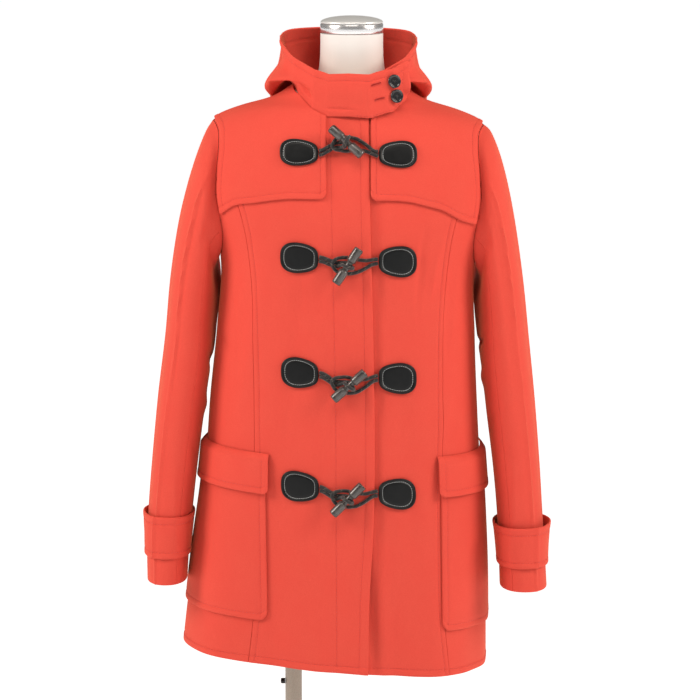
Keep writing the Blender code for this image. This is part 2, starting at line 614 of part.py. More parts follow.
def on_sleeve(side, station, angle, lift=0.0):
    step = 1e-3
    station, angle = np.broadcast_arrays(np.asarray(station, float), np.asarray(angle, float))
    around = sleeve_surface(side, station, angle + step) - sleeve_surface(side, station, angle - step)
    along = sleeve_surface(side, station + step, angle) - sleeve_surface(side, station - step, angle)
    normal = side * np.cross(around, along)
    normal[..., 0] *= ease(station / 0.4)       # the first ring's edge faces the body squarely
    normal = normal / np.linalg.norm(normal, axis=-1, keepdims=True)
    return sleeve_surface(side, station, angle) + np.asarray(lift)[..., None] * normal


def sleeve_stations():
    last = len(SLEEVE_RIGHT) - 1
    return np.array([0.0, 0.45, 1.0, 2.0, 3.0, 4.0, 5.0, 6.0, 7.0, 8.0, 9.0, 10.0, last])


def build_sleeves(side, tag, slot):
    stations = sleeve_stations()[:, None]
    for name, start, end in (("top_sleeve_" + tag, BACK_SEAM - 2 * math.pi, FRONT_SEAM),
                             ("under_sleeve_" + tag, FRONT_SEAM, BACK_SEAM)):
        columns = 1 + round((end - start) / SLEEVE_STEP)
        angles = np.linspace(start, end, columns)[None, :]
        angles[0, 0] += SLEEVE_SEAM_INSET
        angles[0, -1] -= SLEEVE_SEAM_INSET
        outer = on_sleeve(side, stations, angles)
        inner = on_sleeve(side, stations, angles, np.full((len(stations), columns), -CLOTH))
        wall(name, outer, inner, slot)


STRAP_FROM = 9.15               # sleeve rings between which the cuff strap lies
STRAP_TO = 10.25
STRAP_STAND = 0.0022            # how far its upper edge stands off the sleeve


def build_cuff_strap(side, tag, slot):
    angles = np.arange(BACK_SEAM - 2 * math.pi, BACK_SEAM - 0.01, SLEEVE_STEP)[None, :]
    stations = np.array([STRAP_FROM, (STRAP_FROM + STRAP_TO) / 2, STRAP_TO])[:, None]
    outside = np.clip(0.5 + 0.5 * np.cos(angles), 0, 1)
    stand = 2 * SEAM + STRAP_STAND * np.array([1.0, 0.45, 0.1])[:, None] * (0.15 + 0.85 * outside)
    wall("cuff_strap_" + tag, on_sleeve(side, stations, angles, stand + CLOTH),
         on_sleeve(side, stations, angles, stand), slot, closed=True)


# ---------------------------------------------------------------- hood with its throat tab

# Sections of the hood about the neck, by turn. Each runs from the neckline seam out over the
# shoulder or down the back, then up to the free rim. Reaches are from the neckline, outwards
# (out) and upwards (up), at the shelf the hood rests on, the fold's low point, its widest point,
# its waist and the rim.
HOOD_COLUMNS = ("turn", "shelf_out", "shelf_up", "low_out", "low_up", "wide_out", "wide_up",
                "waist_out", "waist_up", "rim_out", "rim_up")
HOOD_SECTIONS = (
    (0, 0.0005, 0.008, 0.0012, 0.017, 0.0016, 0.030, 0.0012, 0.044, -0.001, 0.0580),
    (30, 0.0005, 0.008, 0.0012, 0.017, 0.0016, 0.030, 0.0012, 0.043, -0.001, 0.0570),
    (48, 0.0010, 0.007, 0.0035, 0.013, 0.0050, 0.023, 0.0040, 0.037, 0.003, 0.0520),
    (62, 0.0040, 0.009, 0.0125, 0.012, 0.0180, 0.020, 0.0110, 0.034, 0.012, 0.0520),
    (78, 0.0090, 0.011, 0.0260, 0.003, 0.0370, 0.012, 0.0200, 0.034, 0.019, 0.0590),
    (96, 0.0130, 0.009, 0.0340, -0.005, 0.0430, 0.007, 0.0190, 0.038, 0.024, 0.0645),
    (115, 0.0200, 0.003, 0.0460, -0.016, 0.0520, 0.003, 0.0300, 0.040, 0.034, 0.0680),
    (128, 0.0270, -0.008, 0.0600, -0.047, 0.0720, -0.018, 0.0560, 0.030, 0.048, 0.0710),
    (140, 0.0360, -0.018, 0.0740, -0.098, 0.0960, -0.060, 0.0780, 0.020, 0.060, 0.0740),
    (160, 0.0400, -0.024, 0.0700, -0.150, 0.1180, -0.106, 0.1160, 0.006, 0.066, 0.0760),
    (180, 0.0420, -0.026, 0.0740, -0.165, 0.1240, -0.118, 0.1260, 0.002, 0.068, 0.0765),
)
HOOD_STOPS = ("shelf", "low", "wide", "waist", "rim")
HOOD_WALL = 0.0028
HOOD_STEP = SEAM + 0.0001       # the seam's clearance above the neckline
TAB_CLEAR = 0.0042
TAB_RISE = 0.0016               # the tab's lower edge stays this far above the neck seam


def tab_share(turn):
    """How far the right half has become the tab that crosses the throat."""
    return ease((np.degrees(turn) + 26) / 40)


def neck_knots():
    """Turns and points of the neck opening, at the ends of the panels' columns."""
    xs = np.array([0.0, 0.028, 0.049, NECK_SIDE_X])
    places = turn_at(xs, neck_level(xs))
    back = QUARTER * (1 + np.array((0.0,) + BACK_NECK_SHARES))
    return np.concatenate([places, back]), np.concatenate([neck_level(xs), np.full(len(back), NECK_POINT)])


def neckline(turn):
    """The neck opening's edge: straight between the ends of the panels' columns."""
    turn = np.asarray(turn, float)
    knots, levels = neck_knots()
    side = np.where(turn < 0, -1.0, 1.0)
    points = np.stack([body_surface(sign * knots, levels) for sign in (1.0, -1.0)])
    place = np.interp(np.abs(turn), knots, np.arange(len(knots)))
    here = np.clip(np.floor(place).astype(int), 0, len(knots) - 2)
    share = (place - here)[..., None]
    which = (side < 0).astype(int)
    return points[which, here] * (1 - share) + points[which, here + 1] * share


def hood_surface(turn, climb):
    """Climb runs from 0 at the neckline to 1 at the rim, along a curve through the section's points."""
    turn, climb = np.broadcast_arrays(np.asarray(turn, float), np.asarray(climb, float))
    knots = np.radians(column(HOOD_SECTIONS, HOOD_COLUMNS, "turn"))
    row = {name: smooth(np.abs(turn), knots, column(HOOD_SECTIONS, HOOD_COLUMNS, name))
           for name in HOOD_COLUMNS[1:]}
    outs = [np.zeros_like(turn)] + [row[stop + "_out"] for stop in HOOD_STOPS]
    ups = [np.full(turn.shape, HOOD_STEP)] + [row[stop + "_up"] for stop in HOOD_STOPS]
    ups[0] = ups[0] + TAB_RISE * tab_share(turn)
    ups[1] = ups[1] + TAB_RISE * tab_share(turn)
    place = np.clip(climb, 0, 1) * (len(outs) - 1)
    out, up = blend_knots(place, outs), blend_knots(place, ups)
    base = neckline(turn)
    away = np.stack([np.sin(turn), -np.cos(turn), np.zeros_like(turn)], axis=-1)
    return base + out[..., None] * away + up[..., None] * np.array([0.0, 0.0, 1.0])


def blend_knots(place, values):
    """A Catmull-Rom curve through values, arrays that stand at place 0, 1, 2 and so on."""
    stack = np.stack([2 * values[0] - values[1], *values, 2 * values[-1] - values[-2]])
    here = np.clip(np.floor(place).astype(int), 0, len(values) - 2)
    t = place - here
    before, now, after, beyond = (np.take_along_axis(stack, (here + k)[None], 0)[0] for k in range(4))
    return 0.5 * (2 * now + (after - before) * t + (2 * before - 5 * now + 4 * after - beyond) * t ** 2
                  + (3 * now - before - 3 * after + beyond) * t ** 3)


def on_hood(turn, climb, lift=0.0):
    step = 1e-3
    turn, climb = np.broadcast_arrays(np.asarray(turn, float), np.asarray(climb, float))
    across = hood_surface(turn + step, climb) - hood_surface(turn - step, climb)
    low, high = np.clip(climb - step, 0, 1), np.clip(climb + step, 0, 1)
    up = hood_surface(turn, high) - hood_surface(turn, low)
    normal = np.cross(across, up)
    normal = normal / np.linalg.norm(normal, axis=-1, keepdims=True)
    return hood_surface(turn, climb) + np.asarray(lift)[..., None] * normal


# Turns of the hood's columns past the side of the neck; those before it lie at the neckline's knots.
HOOD_TURNS = (60, 70, 80, 90, 97, 104, 112.5, 124, 135, 146, 157.5, 169, 180)
HOOD_CLIMBS = (0.0, 0.09, 0.2, 0.31, 0.42, 0.53, 0.64, 0.76, 0.88, 1.0)


def build_hood(slot):
    """Two halves that meet at the centre back; the right one runs on across the throat as the tab."""
    climbs = np.array(HOOD_CLIMBS)[:, None]
    front = neck_knots()[0][:4]
    back = np.radians(np.array(HOOD_TURNS, float))
    right = np.concatenate([-back[::-1], -front[:0:-1], front])[None, :]
    left = np.concatenate([front[1:], back])[None, :]
    for name, turns, seam, edge_x in (("hood_right", right, 0, -SEAM_INSET),
                                      ("hood_left", left, -1, SEAM_INSET)):
        lift = np.zeros((len(climbs), turns.shape[1]))
        if name == "hood_right":
            lift = lift + TAB_CLEAR * tab_share(turns)
        outer, inner = on_hood(turns, climbs, lift), on_hood(turns, climbs, lift - HOOD_WALL)
        outer[:, seam, 0] = edge_x
        inner[:, seam, 0] = edge_x
        wall(name, outer, inner, slot)


# ---------------------------------------------------------------- pockets

# Patch pockets that wrap round to the side, with a flap over each. Fronts are x of the front
# edge, backs are turns in degrees.
POCKET_COLUMNS = ("tag", "side", "front_x", "back_turn", "bottom", "top", "flap_x", "flap_bottom",
                  "flap_top", "flap_rise")
POCKETS = (
    ("right", -1, 0.1155, 99, 0.597, 0.822, 0.1105, 0.7760, 0.8330, 0.000),
    ("left", 1, 0.1280, 99, 0.600, 0.834, 0.1230, 0.7890, 0.8450, 0.007),
)
POCKET_BULGE = 0.0026
POCKET_CORNER = 0.013            # how much the outer lower corners are cut away
FLAP_CORNER = 0.006
FLAP_STEP = 0.0018              # the flap climbs over the pocket's top edge this far above it
FLAP_STAND = 0.0012             # how far the flap's lower edge stands off
POCKET_LIFT = 0.0010
POCKET_SHARES = (0.24, 0.48, 0.74, 1.0)     # its columns on the side front, after the first two


def pocket_turns(side, front_x, back_turn, levels):
    """Turns of a pocket's columns, on the panel's own columns from the front edge to the back one."""
    first_share = 0.0 if front_x < 0.12 else 0.08
    rows = [turn_at(side * front_x, levels[:, 0])]
    for index, share in enumerate((first_share,) + POCKET_SHARES, start=1):
        rows.append(side_front_turn(side, share, levels[:, index]))
    rows.append(np.full(len(levels), side * math.radians(back_turn)))
    return np.stack(rows, axis=1)


POCKET_ACROSS = np.array([0.0, 0.12, 0.31, 0.5, 0.69, 0.86, 1.0])


def build_pocket(row, slot):
    tag, side, front_x, back_turn, bottom, top = row[:6]
    upward = np.array([0.0, 0.06, 0.2, 0.45, 0.7, 0.9, 1.0])[:, None]
    levels = np.repeat(bottom + upward * (top - bottom), len(POCKET_ACROSS), axis=1)
    corner = POCKET_CORNER * np.array([1.0, 0.12, 0, 0, 0, 0.05, 1.0])
    levels = levels + (1 - upward / upward[1]).clip(0, 1) * corner[None, :]
    levels[1] += 0.3 * corner
    turns = pocket_turns(side, front_x, back_turn, levels)
    slack = (np.sin(math.pi * POCKET_ACROSS)[None, :] * np.sin(math.pi * upward * 0.85)) ** 0.7
    lift = POCKET_LIFT + POCKET_BULGE * slack
    wall("pocket_" + tag, on_body(turns, levels, lift + CLOTH), on_body(turns, levels, lift), slot)


def build_flap(row, slot):
    tag, side, _, back_turn, _, pocket_top, flap_x, bottom, top, rise = row
    step = (pocket_top + FLAP_STEP - bottom) / (top - bottom)
    upward = np.array([0.0, 0.12, 0.45, step, (1 + step) / 2, 1.0])[:, None]
    levels = bottom + upward * (top - bottom) + rise * POCKET_ACROSS[None, :]
    corner = FLAP_CORNER * np.array([1.0, 0.1, 0, 0, 0, 0.05, 1.0])
    levels = levels + (1 - upward / upward[1]).clip(0, 1) * corner[None, :]
    turns = pocket_turns(side, flap_x, back_turn + 1.5, levels)
    slack = np.sin(math.pi * POCKET_ACROSS)[None, :] ** 0.5
    over = (CLOTH + 3 * SEAM + POCKET_BULGE * slack) * ease((1 - upward) / (1 - step))
    lift = POCKET_LIFT + over + FLAP_STAND * (1 - upward)
    wall("flap_" + tag, on_body(turns, levels, lift + CLOTH), on_body(turns, levels, lift), slot)


# ---------------------------------------------------------------- toggles, cords and leather

# One row per fastening, top to bottom: level of the leather patches, how high these are, the
# toggle's middle and its tilt in degrees, how far it stands off the cloth, and what lies under
# the patches (the yokes under the first row).
FASTENING_COLUMNS = ("level", "height", "toggle_x", "toggle_level", "tilt", "stand", "under")
FASTENINGS = (
    (1.2576, 0.0362, -0.0027, 1.2735, -39.0, 0.0175, YOKE_LIFT + CLOTH),
    (1.1131, 0.0435, -0.0013, 1.1055, 57.0, 0.0150, 0.0),
    (0.9523, 0.0435, 0.0014, 0.9400, 44.0, 0.0150, 0.0),
    (0.7925, 0.0435, -0.0010, 0.7815, 48.0, 0.0150, 0.0),
)
PATCH_LENGTH = 0.0525
PATCH_NEAR = 0.0415             # x of the blunt end, where the cords come out
PATCH_LIFT = 0.0008
PATCH_THICK = 0.0020
PATCH_RIM = 0.0008
NARROW_SHARE = 0.74             # the blunt end's height as a share of the wide end's
BLUNT_POWER = 0.42              # how squarely the blunt end is cut; the round end has its own
ROUND_POWER = 0.75
TOGGLE_LENGTH = 0.058
TOGGLE_END = 0.005              # radius of the cut ends
TOGGLE_BEVEL = 0.0014
NOTCH_REACH = 0.0082            # from the toggle's middle to the shoulders of its notch
WAIST_REACH = 0.0062


def patch_outline(length, height, count=18):
    """A shield: cut square where the cords come out, its half height growing to the round end."""
    angle = np.linspace(0, 2 * math.pi, count, endpoint=False) + math.pi / count
    along = np.sign(np.cos(angle)) * np.abs(np.cos(angle)) ** 0.72
    share = (along + 1) / 2
    half = height / 2 * (NARROW_SHARE + (1 - NARROW_SHARE) * ease(share * 1.5))
    power = BLUNT_POWER + (ROUND_POWER - BLUNT_POWER) * ease(share)
    across = np.sign(np.sin(angle)) * np.abs(np.sin(angle)) ** power
    return share * length, across * half


def build_leather_patch(name, side, level, height, under, slot):
    along, across = patch_outline(PATCH_LENGTH, height)
    count = len(along)
    middle = PATCH_LENGTH * 0.52
    layers = ((1.0, under + PATCH_LIFT), (1.0, under + PATCH_LIFT + PATCH_THICK * 0.7),
              (0.93, under + PATCH_LIFT + PATCH_THICK + PATCH_RIM),
              (0.80, under + PATCH_LIFT + PATCH_THICK * 0.8))
    points, faces = [], []
    for share, lift in layers:
        x = side * (PATCH_NEAR + middle + (along - middle) * share)
        here = level + across * share
        points.extend(on_body(turn_at(x, here), here, np.full(count, lift)))
    for row in range(len(layers) - 1):
        for index in range(count):
            after = (index + 1) % count
            faces.append((row * count + index, row * count + after, (row + 1) * count + after,
                          (row + 1) * count + index))
    centre_x = np.array([side * (PATCH_NEAR + middle)])
    centre_level = np.array([level])
    for layer, lift in ((0, layers[0][1]), (len(layers) - 1, layers[-1][1])):
        points.extend(on_body(turn_at(centre_x, centre_level), centre_level, np.array([lift])))
        hub = len(points) - 1
        for index in range(count):
            faces.append((layer * count + index, layer * count + (index + 1) % count, hub))
    return add_solid(name, np.array(points), faces, slot)


def toggle_frame(row):
    """The toggle's middle, its long direction, and the direction across it, towards the left."""
    _, _, x, level, tilt, stand, _ = row
    half = TOGGLE_LENGTH / 2
    run, rise = half * math.cos(math.radians(tilt)), half * math.sin(math.radians(tilt))
    ends = []
    for sign in (-1, 1):
        place = np.array([x + sign * run])
        here = np.array([level + sign * rise])
        ends.append(on_body(turn_at(place, here), here, np.array([stand]))[0])
    middle = (ends[0] + ends[1]) / 2
    along = (ends[1] - ends[0]) / np.linalg.norm(ends[1] - ends[0])
    upward = along if along[2] > 0 else -along
    outward = np.array([0.0, -1.0, 0.0])
    outward = outward - upward * outward.dot(upward)
    outward = outward / np.linalg.norm(outward)
    across = np.cross(upward, outward)
    across = across if across[0] > 0 else -across
    return middle, upward, outward, across


def build_toggle(name, row, slot):
    middle, upward, _, _ = toggle_frame(row)
    half = TOGGLE_LENGTH / 2
    ends = ((TOGGLE_END, half), (TOGGLE_RADIUS, half - TOGGLE_BEVEL), (TOGGLE_RADIUS, NOTCH_REACH),
            (TOGGLE_WAIST, WAIST_REACH))
    profile = [(radius, -height) for radius, height in ends] + list(ends[::-1])
    return turned(name, profile, middle, upward, slot, sides=12)


def curve_through(points, step):
    """Points a step apart along a Catmull-Rom curve through the route's own points."""
    points = np.asarray(points, float)
    values = [points[index] for index in range(len(points))]
    place = np.linspace(0, len(points) - 1, 40 * len(points))
    stack = np.stack([2 * values[0] - values[1], *values, 2 * values[-1] - values[-2]])
    here = np.clip(np.floor(place).astype(int), 0, len(points) - 2)
    t = (place - here)[:, None]
    before, now, after, beyond = stack[here], stack[here + 1], stack[here + 2], stack[here + 3]
    fine = 0.5 * (2 * now + (after - before) * t + (2 * before - 5 * now + 4 * after - beyond) * t ** 2
                  + (3 * now - before - 3 * after + beyond) * t ** 3)
    reach = np.concatenate([[0], np.cumsum(np.linalg.norm(np.diff(fine, axis=0), axis=1))])
    count = max(6, int(round(reach[-1] / step)))
    wanted = np.linspace(0, reach[-1], count + 1)
    return np.stack([np.interp(wanted, reach, fine[:, axis]) for axis in range(3)], axis=1)


def add_cord(name, points, slot):
    data = bpy.data.curves.new(name, "CURVE")
    data.dimensions = "3D"
    data.bevel_depth = CORD_RADIUS
    data.bevel_resolution = 2
    data.use_fill_caps = True
    spline = data.splines.new("POLY")
    spline.points.add(len(points) - 1)
    for knot, point in zip(spline.points, points):
        knot.co = (*point, 1.0)
    data.materials.append(slot)
    made = bpy.data.objects.new(name, data)
    bpy.context.collection.objects.link(made)
    return made


STRAND_OFFSET = 0.0029          # the two strands of a cord lie this far either side of its middle
CORD_LIFT = CORD_RADIUS + 2 * SEAM
CORD_END = 3.2 * SEAM           # from a cord's end to its patch
TOGGLE_CORD_STEP = 0.0050
LOOP_CORD_STEP = 0.0075
STRAND_PLACES = (-(PATCH_NEAR - CORD_END), -0.035, -0.029, -0.0235, -0.018)     # x, from the patch on
# The cord's turn about the toggle's waist: angle in degrees and how far up the toggle, in metres.
WAIST_TURNS = ((-112, 0.0029), (-70, 0.0027), (-25, 0.0020), (20, 0.0010), (65, 0.0), (110, -0.0012),
               (155, -0.0022), (200, -0.0028))


def yoke_share(x):
    """How far a cord beside x has climbed from the placket on to what lies under the patches."""
    return ease((np.abs(x) - 0.019) / 0.010)


def cord_middle(row, x):
    """The level of a fastening's cords, which drift from the patches to the toggle's waist."""
    level, shift = row[0], row[3] - row[0]
    return level + shift * float(ease((PATCH_NEAR - abs(x)) / 0.030))


def cloth_point(row, x, above, lift):
    here = np.array([cord_middle(row, x) + above])
    place = np.array([x])
    return on_body(turn_at(place, here), here, np.array([lift]))[0]


def build_toggle_cord(name, row, slot):
    """From the right patch to the toggle, once round its waist between the notch's shoulders, and back."""
    middle, upward, outward, across = toggle_frame(row)
    under = row[6]
    reach = TOGGLE_WAIST + CORD_RADIUS + 3 * SEAM
    upper, lower = ([cloth_point(row, x, sign * STRAND_OFFSET, CORD_LIFT + under * float(yoke_share(x)))
                     for x in STRAND_PLACES] for sign in (1, -1))
    route = list(upper)
    for angle, along in WAIST_TURNS:
        turn = math.radians(angle)
        route.append(middle + upward * along + reach * (math.cos(turn) * across + math.sin(turn) * outward))
    route += lower[::-1]
    return add_cord(name, curve_through(route, TOGGLE_CORD_STEP), slot)


# The loop's half, from the left patch to its round end: x, how far from its middle, and lift.
LOOP_COLUMNS = ("x", "away", "lift")
LOOP_ROUTE = (
    (0.0350, 0.0040, 0.0028),
    (0.0295, 0.0056, 0.0028),
    (0.0230, 0.0075, 0.0028),
    (0.0110, 0.0100, 0.0032),
    (-0.0020, 0.0112, 0.0044),
    (-0.0110, 0.0106, 0.0058),
    (-0.0185, 0.0070, 0.0080),
)
LOOP_END = (-0.0222, 0.0092)


def build_loop_cord(name, row, slot):
    """From the left patch, behind the toggle, over the toggle's cord and back."""
    under = row[6]
    upper, lower = [], []
    for half, sign in ((upper, 1), (lower, -1)):
        half.append(cloth_point(row, PATCH_NEAR - CORD_END, sign * 0.0030, CORD_LIFT + under))
        for x, away, lift in LOOP_ROUTE:
            half.append(cloth_point(row, x, sign * away, lift + 0.0003 + under * float(yoke_share(x))))
    route = upper + [cloth_point(row, LOOP_END[0], 0.0, LOOP_END[1])] + lower[::-1]
    return add_cord(name, curve_through(route, LOOP_CORD_STEP), slot)


# ---------------------------------------------------------------- buttons on the tab

BUTTON_RADIUS = 0.0095
BUTTON_LIFT = 0.0027
BUTTON_COLUMNS = ("name", "turn", "climb")
BUTTONS = (("button_upper", 34.0, 0.78), ("button_lower", 37.0, 0.47))


def build_button(name, turn, climb, slot):
    place = np.array([math.radians(turn)])
    rise = np.array([climb])
    cloth = TAB_CLEAR * tab_share(place)
    outward = (on_hood(place, rise, cloth + 1.0) - on_hood(place, rise, cloth))[0]
    near = on_hood(place, rise, cloth + BUTTON_LIFT)[0]
    profile = ((0.0075, 0.0), (BUTTON_RADIUS, 0.0012), (BUTTON_RADIUS, 0.0028), (0.0083, 0.0035),
               (0.0070, 0.0026))
    return turned(name, profile, near, outward, slot, sides=16)


# ---------------------------------------------------------------- the dress form and its stand

# How far the form's skin lies inside the coat's outside, at the sides, front and back.
FORM_COLUMNS = ("level", "side", "front", "back")
FORM_FIT = (
    (0.720, 0.052, 0.040, 0.030),
    (0.800, 0.043, 0.034, 0.024),
    (0.880, 0.046, 0.036, 0.028),
    (0.970, 0.056, 0.040, 0.034),
    (1.060, 0.040, 0.030, 0.026),
    (1.150, 0.030, 0.018, 0.016),
    (1.220, 0.026, 0.014, 0.010),
    (1.265, 0.012, 0.012, 0.008),
    (1.2945, CLOTH + FIT_GAP, 0.018, 0.014),
    (1.3137, CLOTH + FIT_GAP, 0.022, 0.016),
    (1.3232, CLOTH + FIT_GAP, 0.024, 0.018),
    (1.3400, CLOTH + FIT_GAP + 0.0006, 0.022, 0.018),
)
FORM_LEVELS = (0.720, 0.726, 0.76, 0.83, 0.90, 0.97, 1.04, 1.11, 1.17, 1.22, 1.255, 1.28,
               SHOULDER_TIP, 1.3085, 1.3232, 1.3400)
FORM_BEVEL = 0.006
RIDGE_FROM = 1.27               # above this level the form comes close only along the shoulder's ridge
RIDGE_POWER = 14
NECK_RADIUS = 0.0440
NECK_TOP = 1.4185
NECK_MIDDLE_X = 0.0045
NECK_MIDDLE_Y = 0.004
# The neck above the shoulders: height, half width, half depth.
NECK_RINGS = ((1.3500, 0.0560, 0.0490), (1.3620, 0.0485, 0.0460), (1.3800, 0.0450, 0.0442),
              (NECK_TOP, NECK_RADIUS, NECK_RADIUS))
FORM_SIDES = 24
BAND_HEIGHT = 0.0137
POLE_X = -0.079
POLE_RADIUS = 0.012
BASE_RADIUS = 0.210
BASE_THICK = 0.010
COLLAR_RADIUS = 0.026
COLLAR_NECK = 0.019
COLLAR_EDGE = 0.030
COLLAR_TOP = 0.042
SCREW_LEVEL = 0.489


def build_form(slot):
    turns = np.linspace(0, 2 * math.pi, FORM_SIDES, endpoint=False)
    knots = column(FORM_FIT, FORM_COLUMNS, "level")
    rings = []
    for level in FORM_LEVELS:
        fit = {name: float(smooth(level, knots, column(FORM_FIT, FORM_COLUMNS, name)))
               for name in FORM_COLUMNS[1:]}
        sine = np.abs(np.sin(turns)) ** (2 if level < RIDGE_FROM else RIDGE_POWER)
        inward = fit["side"] * sine + np.where(np.cos(turns) > 0, fit["front"], fit["back"]) * (1 - sine)
        if level == FORM_LEVELS[0]:
            inward = inward + FORM_BEVEL
        levels = np.full(FORM_SIDES, level)
        rings.append(on_body(turns, levels, -inward - flutes(turns, levels)))
    for height, wide, deep in NECK_RINGS:
        rings.append(np.stack([NECK_MIDDLE_X + wide * np.sin(turns), NECK_MIDDLE_Y - deep * np.cos(turns),
                               np.full(FORM_SIDES, height)], axis=-1))
    rings[0][:, 2] = rings[0][:, 2].mean()
    points = np.concatenate(rings)
    faces = []
    for row in range(len(rings) - 1):
        for index in range(FORM_SIDES):
            after = (index + 1) % FORM_SIDES
            faces.append((row * FORM_SIDES + index, row * FORM_SIDES + after,
                          (row + 1) * FORM_SIDES + after, (row + 1) * FORM_SIDES + index))
    faces.append(tuple(range(FORM_SIDES)))
    faces.append(tuple((len(rings) - 1) * FORM_SIDES + index for index in range(FORM_SIDES)))
    add_solid("form_torso", points, faces, slot)
    return float(rings[0][0, 2])


def build_stand(form_bottom, metal, dark, cap_slot, steel):
    up = (0, 0, 1)
    turned("form_neck_band", ((NECK_RADIUS + 0.0006, 0.0), (NECK_RADIUS + 0.0010, 0.0012),
                              (NECK_RADIUS + 0.0010, BAND_HEIGHT - 0.0010),
                              (NECK_RADIUS + 0.0006, BAND_HEIGHT)),
           (NECK_MIDDLE_X, NECK_MIDDLE_Y, NECK_TOP + SEAM), up, steel, sides=FORM_SIDES)
    cap_base = NECK_TOP + BAND_HEIGHT + 2 * SEAM
    turned("form_neck_cap", ((NECK_RADIUS - 0.0010, 0.0), (NECK_RADIUS + 0.0004, 0.0010), (0.0425, 0.0040),
                             (0.0350, 0.0072), (0.0200, 0.0098), (0.0060, 0.0106)),
           (NECK_MIDDLE_X, NECK_MIDDLE_Y, cap_base), up, cap_slot, sides=FORM_SIDES)
    turned("stand_pole", ((POLE_RADIUS, BASE_THICK + SEAM), (POLE_RADIUS, form_bottom - SEAM)),
           (POLE_X, 0, 0), up, metal, sides=16)
    angles = np.linspace(0, 2 * math.pi, 20, endpoint=False)
    heights = np.array([BASE_THICK + SEAM, COLLAR_EDGE, COLLAR_TOP])
    grids = []
    for radii in ((COLLAR_RADIUS, COLLAR_RADIUS, COLLAR_NECK), (POLE_RADIUS + SEAM,) * 3):
        reach = np.array(radii)[:, None]
        grids.append(np.stack([POLE_X + reach * np.sin(angles), -reach * np.cos(angles),
                               np.repeat(heights[:, None], len(angles), axis=1)], axis=-1))
    wall("stand_collar", grids[0], grids[1], metal, closed=True)
    turned("stand_base", ((BASE_RADIUS - 0.003, 0.0), (BASE_RADIUS, 0.003), (BASE_RADIUS, BASE_THICK - 0.003),
                          (BASE_RADIUS - 0.003, BASE_THICK)), (0, 0, 0), up, metal, sides=40)
    turned("stand_screw", ((0.0040, 0.0), (0.0040, 0.0050), (0.0032, 0.0062)),
           (POLE_X - POLE_RADIUS - SEAM, 0, SCREW_LEVEL), (-1, 0, 0), dark, sides=12)


def main():
    for leftover in list(bpy.data.objects):
        bpy.data.objects.remove(leftover, do_unlink=True)
    wool = material("vermilion wool melton", (0.85, 0.085, 0.055), 0.9)
    leather = material("black leather", (0.012, 0.012, 0.013), 0.42)
    horn = material("dark horn", (0.030, 0.031, 0.033), 0.28)
    braid = material("black braid", (0.015, 0.015, 0.015), 0.8)
    shell = material("black shell button", (0.012, 0.012, 0.014), 0.2)
    skin = material("white form jersey", (0.80, 0.79, 0.76), 0.85)
    cap_slot = material("pale lacquered cap", (0.78, 0.78, 0.76), 0.3)
    steel = material("bright steel", (0.62, 0.62, 0.62), 0.18, 1.0)
    metal = material("champagne painted steel", (0.42, 0.36, 0.30), 0.45)
    dark = material("dark screw", (0.05, 0.05, 0.05), 0.5)

    build_front("front_right", -1, wool)
    build_front("front_left", 1, wool)
    build_side_front("side_front_right", -1, wool)
    build_side_front("side_front_left", 1, wool)
    build_back("back", wool)
    build_front_yoke("yoke_front_right", -1, wool)
    build_front_yoke("yoke_front_left", 1, wool)
    build_back_yoke("yoke_back", wool)
    for side, tag in ((-1, "right"), (1, "left")):
        build_sleeves(side, tag, wool)
        build_cuff_strap(side, tag, wool)
    build_hood(wool)
    for row in POCKETS:
        build_pocket(row, wool)
        build_flap(row, wool)
    for index, row in enumerate(FASTENINGS, start=1):
        for side, tag in ((-1, "right"), (1, "left")):
            build_leather_patch(f"patch_{tag}_{index}", side, row[0], row[1], row[6], leather)
        build_toggle(f"toggle_{index}", row, horn)
        build_toggle_cord(f"toggle_cord_{index}", row, braid)
        build_loop_cord(f"loop_cord_{index}", row, braid)
    for name, turn, climb in BUTTONS:
        build_button(name, turn, climb, shell)
    form_bottom = build_form(skin)
    build_stand(form_bottom, metal, dark, cap_slot, steel)


main()
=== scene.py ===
import math

import bpy
import numpy as np
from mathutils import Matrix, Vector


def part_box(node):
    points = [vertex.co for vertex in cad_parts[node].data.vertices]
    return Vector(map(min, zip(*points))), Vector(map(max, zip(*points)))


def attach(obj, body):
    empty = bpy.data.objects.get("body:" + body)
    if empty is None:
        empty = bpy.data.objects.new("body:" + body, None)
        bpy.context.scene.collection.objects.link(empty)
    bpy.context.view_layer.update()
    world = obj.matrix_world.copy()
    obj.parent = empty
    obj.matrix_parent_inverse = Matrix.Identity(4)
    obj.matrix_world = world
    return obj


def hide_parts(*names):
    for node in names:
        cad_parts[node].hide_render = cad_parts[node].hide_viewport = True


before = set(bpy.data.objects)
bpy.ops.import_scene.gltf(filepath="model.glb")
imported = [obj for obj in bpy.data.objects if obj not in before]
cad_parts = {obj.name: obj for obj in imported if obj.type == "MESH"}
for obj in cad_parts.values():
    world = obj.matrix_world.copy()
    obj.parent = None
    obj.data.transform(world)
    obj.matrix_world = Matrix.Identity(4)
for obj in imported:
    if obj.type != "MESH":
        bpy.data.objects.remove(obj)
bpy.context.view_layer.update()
print("frame loaded")

# A wool duffle coat on a limbless dress form. Front is -Y, the wearer's right is at -X.
# The coat's body is one surface of rings: a place on it is a turn (0 at the centre front, 90
# degrees at the left side seam) and a level (its height on the centre line). Every panel, yoke,
# pocket and patch lies on that surface, moved in or out by a lift along its normal.

quarter = math.pi / 2
bothSides = ((-1, "Right", "right"), (1, "Left", "left"))       # the wearer's own

